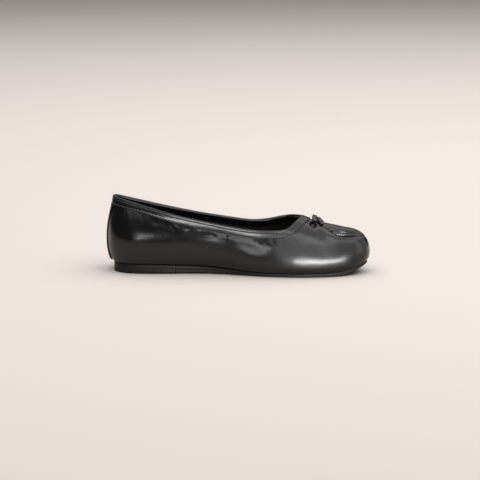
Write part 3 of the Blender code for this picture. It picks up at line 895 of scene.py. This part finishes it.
@dataclass
class Stitching:
    """A row of thread stitches, each a short round bridge between two needle holes, which are flat
    near-black dots of painted shade.
    """

    step: float = 2.73 * MM
    share: float = 0.60
    thickness: float = 0.60 * MM
    # Width and flatness of the flat near-black dot at each needle hole: painted shade.
    shade_dot: float = 1.35 * MM
    shade_dot_flat: float = 0.4
    sight: float = 0.3

    def count(self, line: np.ndarray) -> int:
        """Number of stitches that fill a line of points."""
        return round(float(runs_along(line)[-1]) / self.step)

    def build(self, name: str, line: np.ndarray, outward: np.ndarray,
              thread: Sequence[bpy.types.Material], slot: str) -> bpy.types.Object:
        """Sew along a line.

        Args:
            name: Name of the piece.
            line: Points of the line, in order.
            outward: Outward directions there.
            thread: Finishes of the thread and of the painted shade in the needle holes.
            slot: Not used.

        Returns:
            The piece.
        """
        runs = runs_along(line)
        count = self.count(line)
        bridge = (self.step * self.share, self.thickness, self.thickness, 1.0)
        # Each needle hole gets a flat near-black dot, painted shade of the hole, and the thread bridges lie
        # between them.
        shade_dot_size = (self.shade_dot, self.shade_dot, self.shade_dot_flat * self.shade_dot, 1.0)
        work = bmesh.new()
        for half_step in range(2 * count):
            is_shade_dot = half_step % 2 == 0
            at = half_step / (2 * count) * runs[-1]
            here = Vector([np.interp(at, runs, line[:, i]) for i in range(3)])
            after = Vector([np.interp(at + self.sight * self.step, runs, line[:, i]) for i in range(3)])
            out = Vector([np.interp(at, runs, outward[:, i]) for i in range(3)])
            ahead = (after - here).normalized()
            side = out.cross(ahead).normalized()
            turn = Matrix((ahead, side, ahead.cross(side))).transposed().to_4x4()
            size = Matrix.Diagonal(shade_dot_size if is_shade_dot else bridge)
            made = bmesh.ops.create_uvsphere(work, u_segments=7, v_segments=5, radius=0.5,
                                             matrix=Matrix.Translation(here) @ turn @ size)
            for face in {face for vert in made["verts"] for face in vert.link_faces}:
                face.material_index = int(is_shade_dot)
        return make_piece(name, work, thread)


class PressedLine(NamedTuple):
    """A line pressed along the band: height over the band's edge, lift (below zero in a groove), width."""

    up: float
    lift: float
    width: float


@dataclass
class ToplineBand:
    """Band folded over the topline, with one row of stitches near its lower edge."""

    leather: Leather
    stitching: Stitching
    outside: float = 7.4 * MM
    inside: float = 6.5 * MM
    thickness: float = 0.9 * MM
    skived: float = 0.42 * MM
    skive_up: float = 6.0 * MM
    edge_round: float = 0.35 * MM
    crest: float = 0.95
    stitch_up: float = 0.95 * MM
    stitch_lift: float = 0.04 * MM
    needle_depth: float = 0.40 * MM
    needle_long: float = 0.50 * MM
    needle_tall: float = 0.40 * MM
    lines: tuple[PressedLine, ...] = (
        PressedLine(stitch_up, -0.10 * MM, 0.42 * MM),
        PressedLine(3.6 * MM, 0.04 * MM, 1.4 * MM),
        PressedLine(5.7 * MM, -0.34 * MM, 0.30 * MM),
    )
    columns: int = 1500

    def face_offset(self, up: np.ndarray) -> np.ndarray:
        """Distance of the band's face from the wall, at each height over its own edge."""
        edge = np.sqrt(1 - (1 - np.clip(up / self.edge_round, 0, 1)) ** 2)
        rise = np.clip(up / self.skive_up, 0, 1)
        body = self.skived + (self.thickness - self.skived) * rise
        pressed = sum(line.lift * np.exp(-(((up - line.up) / line.width) ** 2)) for line in self.lines)
        return self.leather.last.clearance + body * edge + pressed

    def section(self, places: np.ndarray) -> np.ndarray:
        """Sections of the band.

        Args:
            places: Places round the shoe.

        Returns:
            For each place the ring of points, closed on its first.
        """
        last = self.leather.last
        outer = MM * np.array([0, 0.1, 0.25, 0.45, 0.7, 0.95, 1.2, 1.5, 2.0, 2.8, 3.6, 4.4, 5.0, 5.3, 5.5,
                               5.7, 5.9, 6.1, 6.4, 6.9, 7.4])
        inner = np.linspace(0, 1, 7) * self.inside
        under = np.array([self.inside, 0.5 * self.inside, 0.0])
        beside = np.array([0.0, 0.5 * self.outside, self.outside])
        depths = np.concatenate([self.outside - outer, inner, under, beside])
        offsets = np.concatenate([
            self.face_offset(outer), -last.wall - self.face_offset(self.inside - inner),
            np.full(len(under), -last.wall - last.clearance), np.full(len(beside), last.clearance),
        ])
        levels = last.levels_at(places, depths)
        across = np.repeat(places[:, None], len(depths), axis=1)
        wall, normals = last.plain(across, levels), last.normals(across, levels)
        lying = wall + offsets[None, :, None] * normals
        seam = int(np.argmin(np.abs(outer - self.stitch_up)))
        runs = runs_along(lying[:, seam])
        phase = runs / runs[-1] * self.stitching.count(lying[:, seam])
        from_hole = np.abs(phase - np.rint(phase)) * self.stitching.step
        near = np.exp(-((from_hole / self.needle_long) ** 2))
        for k, up in enumerate(outer):
            tall = math.exp(-(((up - self.stitch_up) / self.needle_tall) ** 2))
            lying[:, k] -= (self.needle_depth * near * tall)[:, None] * normals[:, k]
        top = np.full(len(places), 3.0)
        rim, normal = last.plain(places, top), last.normals(places, top)
        upward = unit(rim - last.plain(places, top - 0.02))
        half = last.wall / 2 + last.clearance + self.thickness
        fold = [
            rim + (half * math.cos(turn) - last.wall / 2) * normal
            + self.crest * (last.clearance + self.thickness) * math.sin(turn) * upward
            for turn in np.linspace(0, math.pi, 11)[1:-1]
        ]
        gap = last.clearance * upward
        rows = [*np.moveaxis(lying[:, :len(outer)], 1, 0), *fold,
                *np.moveaxis(lying[:, len(outer):len(outer) + len(inner) + len(under)], 1, 0),
                rim - (last.wall + last.clearance) * normal + gap, rim + last.clearance * normal + gap,
                *np.moveaxis(lying[:, -len(beside):], 1, 0), lying[:, 0]]
        return np.stack(rows, axis=1)

    def build(self, hide: bpy.types.Material,
              thread: Sequence[bpy.types.Material]) -> list[bpy.types.Object]:
        """Build the band and its seam.

        Args:
            hide: Finish of the band.
            thread: Finishes of the stitches and of the painted shade in their holes.

        Returns:
            The pieces.
        """
        last = self.leather.last
        places = np.linspace(0, last.laps, self.columns)
        rings = last.home(self.section(places))
        count = rings.shape[1]

        def shape(across: np.ndarray, upward: np.ndarray) -> np.ndarray:
            """Points of the rings."""
            return rings[np.rint(across).astype(int), np.rint(upward).astype(int)]

        work = mapped_grid(np.arange(self.columns), np.arange(count), shape)
        bmesh.ops.recalc_face_normals(work, faces=work.faces[:])
        band = make_piece("topline_band", work, (hide,), ("topline_binding",))
        levels = last.levels_at(places, np.array([self.outside - self.stitch_up]))[:, 0]
        outward = last.normals(places, levels)
        off = last.clearance + self.skived + self.stitch_lift
        line = last.home(last.plain(places, levels) + off * outward)
        seam = self.stitching.build("topline_stitches", line, outward, thread, "black_binding_leather")
        return [band, seam]


@dataclass
class HeelStrip:
    """Strip over the back seam, narrow in the middle, with a stitch row along both edges."""

    leather: Leather
    band: ToplineBand
    half_width: float = 5.2 * MM
    top_spread: float = 6.2 * MM
    foot_spread: float = 7.0 * MM
    thickness: float = 0.7 * MM
    stitch_in: float = 1.1 * MM
    end_depth: float = 61.4 * MM
    lowest_level: float = 1.25

    def width(self, share: np.ndarray) -> np.ndarray:
        """Half width of the strip at each share of its way down."""
        return self.half_width + self.top_spread * (1 - share) ** 3 + self.foot_spread * share**3

    def at(self, across: np.ndarray, share: np.ndarray) -> tuple[np.ndarray, np.ndarray]:
        """Points of the wall under the strip.

        Args:
            across: Distances from the middle, as shares of the half width.
            share: Shares of the way down from the band to the sole.

        Returns:
            The points and their outward normals.
        """
        last = self.leather.last
        back = last.values(np.array([-0.5, 0.5]))[:, :2]
        per_row = float(np.linalg.norm(back[1] - back[0]))
        places = across * self.width(share) / per_row
        start = self.band.outside + 2 * last.clearance
        depths = start + share * (self.end_depth - start)
        levels = np.maximum(last.levels_at(places, depths[:, None])[:, 0], self.lowest_level)
        return last.plain(places, levels), last.normals(places, levels)

    def build(self, hide: bpy.types.Material,
              thread: Sequence[bpy.types.Material]) -> list[bpy.types.Object]:
        """Build the strip and its seams.

        Args:
            hide: Finish of the strip.
            thread: Finishes of the stitches and of the painted shade in their holes.

        Returns:
            The pieces.
        """
        last = self.leather.last
        edge = np.array([0.0, 0.4, 0.75, 0.95, 1.0, 0.82, 1.0, 1.0, 1.0, 1.0])
        across = np.array([-1.0, -0.998, -0.985, -0.96, -0.92, -0.87, -0.82, -0.6, -0.4, -0.2])
        top_across = np.concatenate([across, [0.0], -across[::-1]])
        top_lift = np.concatenate([edge, [1.0], edge[::-1]])
        ring_across = np.concatenate([top_across, [0.0, -1.0]])
        ring_lift = np.concatenate([top_lift, [0.0, 0.0]])

        def shape(along: np.ndarray, around: np.ndarray) -> np.ndarray:
            """Points of the strip, top and back."""
            k = np.rint(around).astype(int)
            points, normal = self.at(ring_across[k], along)
            return last.home(points + (last.clearance + self.thickness * ring_lift[k])[:, None] * normal)

        work = mapped_grid(np.linspace(0, 1, 90), np.arange(len(ring_across)), shape)
        close_holes(work)
        strip = make_piece("heel_strip_leather", work, (hide,), ("heel_strip",))
        pieces = [strip]
        along = np.linspace(0.01, 0.99, 80)
        for name, sign in (("heel_stitches_inner", -1), ("heel_stitches_outer", 1)):
            place = sign * (1 - self.stitch_in / self.width(along))
            points, normal = self.at(place, along)
            line = last.home(points + (last.clearance + self.thickness) * normal)
            seam = self.band.stitching.build(name, line, normal, thread, "black_binding_leather")
            pieces.append(seam)
        return pieces


def rounded_box(
    angle: np.ndarray, wide: float, deep: float, corner: float
) -> tuple[np.ndarray, np.ndarray]:
    """Section between an ellipse and a box.

    Args:
        angle: Angles round the section.
        wide: Half the width.
        deep: Half the depth.
        corner: Power of sine and cosine, 1 for an ellipse and less for a box.

    Returns:
        Distances along the width and along the depth.
    """
    cos, sin = np.cos(angle), np.sin(angle)
    return np.sign(cos) * np.abs(cos) ** corner * wide, np.sign(sin) * np.abs(sin) ** corner * deep


@dataclass
class Bow:
    """Small bow tied of flat leather cord: two loops that stand on edge, two ends and a wrapped knot."""

    leather: Leather
    cord_width: float = 3.4 * MM
    cord_thickness: float = 2.2 * MM
    cord_corner: float = 0.75
    cord_upright: float = 0.3
    cord_pinch: float = 0.65
    knot_corner: float = 0.8
    knot_crease: float = 0.10 * MM
    knot_lean: float = 0.25 * MM
    setback: float = 12.2 * MM
    rise: float = 2.5 * MM
    knot_depth: float = 5.0 * MM
    knot_width: float = 3.2 * MM
    knot_height: float = 4.6 * MM
    knot_tube: float = 0.85 * MM
    knot_forward: float = 3.3 * MM
    knot_sink: float = 1.0 * MM
    pinch_reach: float = 3.6 * MM
    loop_length: float = 10.5 * MM
    loop_gap: float = 1.9 * MM
    loop_pinch: float = 0.55
    loop_forward: float = 0.7 * MM
    loop_sweep: float = 2.3 * MM
    loop_turn: float = 1.6
    loop_drop: float = 1.1 * MM
    end_length: float = 10.8 * MM
    end_forward: float = 3.2 * MM
    end_sink: float = 0.8 * MM
    end_spread: float = 4.2 * MM
    end_drop: float = 2.3 * MM

    def seat(self) -> Matrix:
        """Middle of the knot on the upper, x forwards along the vamp and z away from it."""
        last = self.leather.last
        place = np.array([float(last.toe)])
        level = last.levels_at(place, np.array([self.setback]))[:, 0]
        point = Vector(last.home(last.plain(place, level))[0])
        normal = Vector(last.normals(place, level)[0])
        forward = Vector((0.0, 1.0, 0.0)).cross(normal).normalized()
        placed = Matrix((forward, normal.cross(forward), normal)).transposed().to_4x4()
        placed.translation = point + normal * (self.rise + last.clearance)
        return placed

    def sweep(self, line: np.ndarray, closed: bool, sides: int = 20) -> bmesh.types.BMesh:
        """Flat cord along a line.

        Args:
            line: Points in the bow's own frame.
            closed: Whether the line runs round to its start.
            sides: Points round the cord.

        Returns:
            The bmesh, in the bow's own frame.
        """
        count = len(line)
        ahead = np.roll(line, -1, axis=0) - np.roll(line, 1, axis=0)
        if not closed:
            ahead[0], ahead[-1] = line[1] - line[0], line[-1] - line[-2]
        ahead[:, 0] *= self.cord_upright
        ahead = unit(ahead)
        wide = np.tile([1.0, 0.0, 0.0], (count, 1))
        thin = unit(np.cross(ahead, wide))
        free = np.clip(np.abs(line[:, 1]) / self.pinch_reach, 0, 1)
        pinch = self.cord_pinch + (1 - self.cord_pinch) * free
        angle = np.linspace(0, 2 * math.pi, sides + 1)
        flat, deep = rounded_box(angle, self.cord_width / 2, self.cord_thickness / 2, self.cord_corner)

        def shape(along: np.ndarray, around: np.ndarray) -> np.ndarray:
            """Points of the cord."""
            i = np.mod(np.rint(along).astype(int), count)
            k = np.rint(around).astype(int)
            size = pinch[i][:, None]
            return line[i] + size * (flat[k][:, None] * wide[i] + deep[k][:, None] * thin[i])

        columns = np.arange(count + 1 if closed else count)
        work = mapped_grid(columns, np.arange(sides + 1), shape)
        close_holes(work)
        return work

    def loop_line(self) -> np.ndarray:
        """Middle line of both loops."""
        half = self.loop_gap / 2
        straight = self.loop_length - self.cord_thickness / 2 - half
        points: list[tuple[float, float]] = []
        turn = np.linspace(-math.pi / 2, math.pi / 2, 13)
        for side in (Side.INNER.value, Side.OUTER.value):
            run = [(side * straight * share, -half * (self.loop_pinch + (1 - self.loop_pinch) * share))
                   for share in (0.05, 0.25, 0.5, 0.75)]
            bend = [(side * (straight + half * math.cos(a)), half * math.sin(a)) for a in turn]
            points += run + bend + [(y, -z) for y, z in run[::-1]]
        line = []
        for y, z in points:
            share = abs(y) / self.loop_length
            forward = self.loop_forward - self.loop_sweep * min(1.0, self.loop_turn * share)
            line.append((forward, y, z - self.loop_drop * share**2))
        return np.array(line)

    def end_line(self) -> np.ndarray:
        """Middle line of both ends, which lie in front of the loops."""
        share = np.linspace(-1, 1, 31)
        forward = self.end_forward + self.end_spread * np.abs(share) ** 1.5
        height = -self.end_sink - self.end_drop * share**2
        return np.column_stack([forward, self.end_length * share, height])

    def knot(self) -> bmesh.types.BMesh:
        """Turn of cord wrapped round the middle, in the bow's own frame."""
        tube = self.knot_tube

        def shape(around: np.ndarray, section: np.ndarray) -> np.ndarray:
            """Points of the turn, which leans a little to one side."""
            lean = self.knot_lean * np.sin(around)
            across, out = rounded_box(section, self.knot_width / 2, tube, self.knot_corner)
            long = self.knot_depth / 2 - tube + out
            tall = self.knot_height / 2 - tube + out
            crease = self.knot_crease * np.cos(6 * math.pi * across / self.knot_width)
            return np.column_stack([
                self.knot_forward + (long + crease) * np.cos(around), across + lean,
                (tall + crease) * np.sin(around) - self.knot_sink,
            ])

        work = mapped_grid(np.linspace(0, 2 * math.pi, 57), np.linspace(0, 2 * math.pi, 21), shape)
        bmesh.ops.recalc_face_normals(work, faces=work.faces[:])
        return work

    def build(self, hide: bpy.types.Material) -> list[bpy.types.Object]:
        """Build loops, ends and knot.

        Args:
            hide: Finish of the cord.

        Returns:
            The pieces.
        """
        seat = self.seat()
        works = {
            "bow_loops": self.sweep(self.loop_line(), True),
            "bow_ends": self.sweep(self.end_line(), False),
            "bow_knot": self.knot(),
        }
        pieces = []
        for name, work in works.items():
            bmesh.ops.transform(work, matrix=seat, verts=work.verts[:])
            nodes = ("bow",) if name == "bow_loops" else ()
            pieces.append(make_piece(name, work, (hide,), nodes))
        return pieces


class Corner(NamedTuple):
    """Point of a plate's section: side to side, distance in from the edge, height share, and lift."""

    mix: float
    inset: float
    level: float
    lift: float


@dataclass
class Plate:
    """A sole or sock whose outline is the sole's edge and whose section is a row of corners."""

    last: Last
    start: tuple[float, float]
    end: tuple[float, float]
    inset: float
    top: Callable[[np.ndarray], np.ndarray]
    bottom: Callable[[np.ndarray], np.ndarray]
    corners: tuple[Corner, ...]
    rows: int = 150
    across: int = 12

    def ring(self) -> list[Corner]:
        """Corners round the whole section, closed on the first."""
        outer = list(self.corners)
        inner = [corner._replace(mix=0.0) for corner in outer[::-1]]
        mixes = np.linspace(0, 1, self.across)[1:-1]
        top = [outer[0]._replace(mix=float(mix)) for mix in mixes]
        low = [outer[-1]._replace(mix=float(mix)) for mix in mixes[::-1]]
        return [*top, *outer, *low, *inner, top[0]]

    def build(self) -> bmesh.types.BMesh:
        """Build the closed plate."""
        ring = self.ring()
        mix, inset, level, lift = (np.array([getattr(corner, name) for corner in ring])
                                   for name in ("mix", "inset", "level", "lift"))

        def shape(along: np.ndarray, around: np.ndarray) -> np.ndarray:
            """Points of the plate."""
            k = np.rint(around).astype(int)
            deep = self.inset + inset[k]
            ends = []
            for side in (0, 1):
                places = self.start[side] + along * (self.end[side] - self.start[side])
                ends.append(self.last.edge(places, deep)[0])
            flat = ends[0] + mix[k][:, None] * (ends[1] - ends[0])
            low, high = self.bottom(flat[:, 0]), self.top(flat[:, 0])
            height = low + level[k] * (high - low) + lift[k]
            return self.last.home(np.column_stack([flat, height]))

        even = np.linspace(0, 1, self.rows)
        along = 0.5 * (0.5 * (1 - np.cos(math.pi * even))) + 0.5 * even
        work = mapped_grid(along, np.arange(len(ring)), shape)
        close_holes(work)
        return work


@dataclass
class Bottom:
    """What lies under the upper: heel block, front sole and the sock inside."""

    last: Last
    heel_length: float = 59.8 * MM
    sock_thickness: float = 2.2 * MM
    sock_inset: float = 3.0 * MM
    bevel: float = 0.7 * MM
    tip: float = 0.02

    def place_at(self, x: float, side: Side) -> float:
        """Place round the shoe where one side of the sole's edge has the given x."""
        counts = np.linspace(0.0, self.last.toe, 400)
        places = counts if side is Side.INNER else self.last.laps - counts
        return float(np.interp(x, self.last.values(places)[:, 0], places))

    def build(self, rubber: bpy.types.Material, sock: bpy.types.Material) -> list[bpy.types.Object]:
        """Build the three plates.

        Args:
            rubber: Finish of heel and sole.
            sock: Finish of the sock.

        Returns:
            The pieces.
        """
        last, toe = self.last, self.last.toe
        breast = FOOT[0].x * last.length + self.heel_length
        heel_end = (self.place_at(breast, Side.INNER), self.place_at(breast, Side.OUTER))
        front = breast + last.clearance
        front_start = (self.place_at(front, Side.INNER), self.place_at(front, Side.OUTER))
        back_tip = (self.tip, last.laps - self.tip)
        toe_tip = (toe - self.tip, toe + self.tip)
        b = self.bevel
        heel = Plate(last, back_tip, heel_end, 0.0, last.top_of_sole, np.zeros_like, (
            Corner(1, 0.9 * MM, 1, 0), Corner(1, 0.4 * MM, 1, -0.08 * MM),
            Corner(1, 0.1 * MM, 1, -0.3 * MM), Corner(1, 0, 1, -0.7 * MM), Corner(1, 0, 0.66, 0),
            Corner(1, 0, 0.33, 0), Corner(1, 0, 0, b), Corner(1, 0.3 * b, 0, 0.3 * b), Corner(1, b, 0, 0),
        ), rows=70)
        sole = Plate(last, front_start, toe_tip, 0.0, last.top_of_sole, last.underside, (
            Corner(1, 0.9 * MM, 1, 0), Corner(1, 0.3 * MM, 1, -0.08 * MM), Corner(1, 0, 1, -0.35 * MM),
            Corner(1, 0, 0.62, 0), Corner(1, 0.02 * MM, 0.50, 0), Corner(1, 0.30 * MM, 0.46, 0),
            Corner(1, 0.30 * MM, 0.42, 0), Corner(1, 0.06 * MM, 0.38, 0), Corner(1, 0, 0, b),
            Corner(1, 0.3 * b, 0, 0.3 * b), Corner(1, b, 0, 0),
        ), rows=190)
        lift = last.wall + 2 * last.clearance

        def sock_top(x: np.ndarray) -> np.ndarray:
            """Height of the sock's face."""
            return last.top_of_sole(x) + lift + self.sock_thickness

        def sock_bottom(x: np.ndarray) -> np.ndarray:
            """Height of the sock's underside, over the upper's margin."""
            return last.top_of_sole(x) + lift

        insole = Plate(last, back_tip, toe_tip, self.sock_inset, sock_top, sock_bottom, (
            Corner(1, 1.6 * MM, 1, 0), Corner(1, 0.8 * MM, 1, -0.14 * MM),
            Corner(1, 0.25 * MM, 1, -0.45 * MM), Corner(1, 0, 1, -1.0 * MM),
            Corner(1, 0, 0, 0.2 * MM), Corner(1, 0.4 * MM, 0, 0),
        ), rows=150)
        return [
            make_piece("heel_block", heel.build(), (rubber,), ("heel",)),
            make_piece("front_sole", sole.build(), (rubber,), ("outsole",)),
            make_piece("sock", insole.build(), (sock,), ("insole",)),
        ]


@dataclass(frozen=True)
class SoftBox:
    """A soft box or reflector card, which lights only the named pieces, or all where none is named."""

    name: str
    place: tuple[float, float, float]
    size: tuple[float, float]
    radiance: float
    color: str = "ffffff"
    reach: Reach = Reach.ALL
    aim: tuple[float, float, float] = (0.0, 0.0, 0.03)
    lean: float = 0.0
    only: tuple[str, ...] = ()

    def build(self) -> None:
        """Hang the light."""
        data = bpy.data.lights.new(self.name, "AREA")
        data.shape = "RECTANGLE"
        data.size, data.size_y = self.size
        data.energy = 4 * self.radiance * self.size[0] * self.size[1]
        data.color = hex_linear(self.color)[:3]
        lamp = bpy.data.objects.new(self.name, data)
        lamp.location = self.place
        turn = (Vector(self.aim) - Vector(self.place)).to_track_quat("-Z", "Y")
        lamp.rotation_euler = (turn @ Quaternion((0.0, 0.0, 1.0), math.radians(self.lean))).to_euler()
        lamp.visible_camera = False
        lamp.visible_diffuse = self.reach is Reach.ALL
        if self.only:
            lit = bpy.data.collections.new(f"lit_by_{self.name}")
            for name in self.only:
                lit.objects.link(bpy.data.objects[name])
            lamp.light_linking.receiver_collection = lit
        bpy.context.scene.collection.objects.link(lamp)


@dataclass
class Studio:
    """Floor, lights and camera of the photograph."""

    target: tuple[float, float, float] = (0.0005, -0.0013, 0.03)
    target_pixel: tuple[float, float] = (238.609, 238.418)
    pixel: float = 0.95319 * MM
    pixels: int = 480
    elevation: float = 10.7
    turn: float = -3.0
    distance: float = 2.5
    sensor: float = 36.0
    room: float = 0.11
    floor_half: float = 6.0
    boxes: tuple[SoftBox, ...] = (
        SoftBox("top_box", (0.45, 0.2, 1.5), (3.2, 3.2), 1.22, "fffcfa", aim=(0.45, 0.2, 0.0)),
        SoftBox("key_box", (0.15, -0.35, 0.45), (0.30, 0.90), 1.7, reach=Reach.GLOSS,
                aim=(0.15, 0.0, 0.45)),
        SoftBox("side_box", (0.95, -0.35, 0.60), (1.30, 1.20), 0.9, reach=Reach.GLOSS, aim=(0.7, 0.0, 0.6)),
        SoftBox("low_card", (0.245, -0.34, 0.012), (0.37, 0.050), 31.0, reach=Reach.GLOSS,
                aim=(0.27, 0.0, 0.01)),
        SoftBox("slant_card", (-0.245, -0.90, 0.24), (0.10, 0.25), 7.0, reach=Reach.GLOSS,
                aim=(0.0, 0.0, 0.1), lean=-33.0),
        SoftBox("band_card", (-0.23, -0.90, 0.27), (0.16, 0.34), 13.0, reach=Reach.GLOSS,
                aim=(0.0, 0.0, 0.1), lean=-30.0, only=("topline_band", "topline_stitches")),
        SoftBox("toe_box", (1.3, 0.25, 0.45), (1.4, 0.9), 0.65, reach=Reach.GLOSS, aim=(0.0, 0.1, 0.3)),
        SoftBox("back_box", (0.0, 2.1, 1.15), (2.6, 0.5), 0.6),
    )

    def build(self) -> None:
        """Set floor, lights and camera."""
        bpy.context.scene.view_settings.view_transform = "Standard"
        self.floor()
        self.lights()
        self.camera()

    def camera(self) -> None:
        """Place the camera so that the shoe falls where the photograph has it."""
        e, a = math.radians(self.elevation), math.radians(self.turn)
        ahead = Vector((math.sin(a) * math.cos(e), math.cos(a) * math.cos(e), -math.sin(e)))
        right = Vector((math.cos(a), -math.sin(a), 0.0))
        up = right.cross(ahead)
        aside = (self.pixels / 2 - self.target_pixel[0]) * self.pixel
        over = (self.target_pixel[1] - self.pixels / 2) * self.pixel
        data = bpy.data.cameras.new("camera")
        data.sensor_width = self.sensor
        data.lens = self.sensor * self.distance / (self.pixels * self.pixel)
        data.clip_end = 60.0
        camera = bpy.data.objects.new("camera", data)
        camera.location = Vector(self.target) + aside * right + over * up - self.distance * ahead
        camera.rotation_euler = ahead.to_track_quat("-Z", "Y").to_euler()
        bpy.context.scene.collection.objects.link(camera)
        bpy.context.scene.camera = camera

    def floor(self) -> None:
        """Lay the floor, far larger than the view."""
        work = bmesh.new()
        bmesh.ops.create_grid(work, x_segments=2, y_segments=2, size=self.floor_half)
        mesh = bpy.data.meshes.new("floor")
        work.to_mesh(mesh)
        work.free()
        mesh.materials.append(PaintedFloor().make())
        floor = bpy.data.objects.new("floor", mesh)
        bpy.context.scene.collection.objects.link(floor)

    def lights(self) -> None:
        """Hang the soft boxes and set the room's light."""
        world = bpy.data.worlds.new("studio")
        world.use_nodes = True
        background = world.node_tree.nodes["Background"]
        background.inputs["Color"].default_value = hex_linear("fffaf4")
        background.inputs["Strength"].default_value = self.room
        bpy.context.scene.world = world
        for box in self.boxes:
            box.build()


def main() -> None:
    """Dress the shoe, piece by piece, and set the studio."""
    logging.basicConfig(level=logging.INFO, format="%(message)s")
    last = Last()
    leather = Leather(last)
    calf = GrainLeather("waxed_calf_leather", "08080a", "0d0d10", 0.17, 0.24, 0.9, 0.02 * MM).make()
    trim = GrainLeather("folded_band_leather", "0a0a0c", "101013", 0.17, 0.23, 0.8, 0.03 * MM,
                        swell_mm=5.0, swell_depth=0.08 * MM).make()
    cord = GrainLeather("flat_leather_cord", "2b2825", "3a3632", 0.42, 0.55, 0.6, 0.06 * MM,
                        swell_mm=2.5, swell_depth=0.15 * MM, coat=0.1).make()
    lining = GrainLeather("lining_pigskin", "1b1918", "272321", 0.55, 0.7, 1.2, 0.10 * MM).make()
    rubber = MouldedRubber("moulded_sole_rubber", "12100e", "1b1815").make()
    # Mid-grey thread colour: painted sheen on black thread, so that the stitches stand out as light humps.
    thread = (WaxedThread("waxed_thread", "86868a").make(),
              # Near-black matt finish: painted shade in the needle holes.
              WaxedThread("thread_pulled_into_hole", "010101", 1.0, 0.0).make())
    band = ToplineBand(leather, Stitching())
    Upper(leather).build(calf, lining)
    band.build(trim, thread)
    HeelStrip(leather, band).build(trim, thread)
    Bow(leather).build(cord)
    Bottom(last).build(rubber, lining)
    Studio().build()


if __name__ == "__main__":
    main()
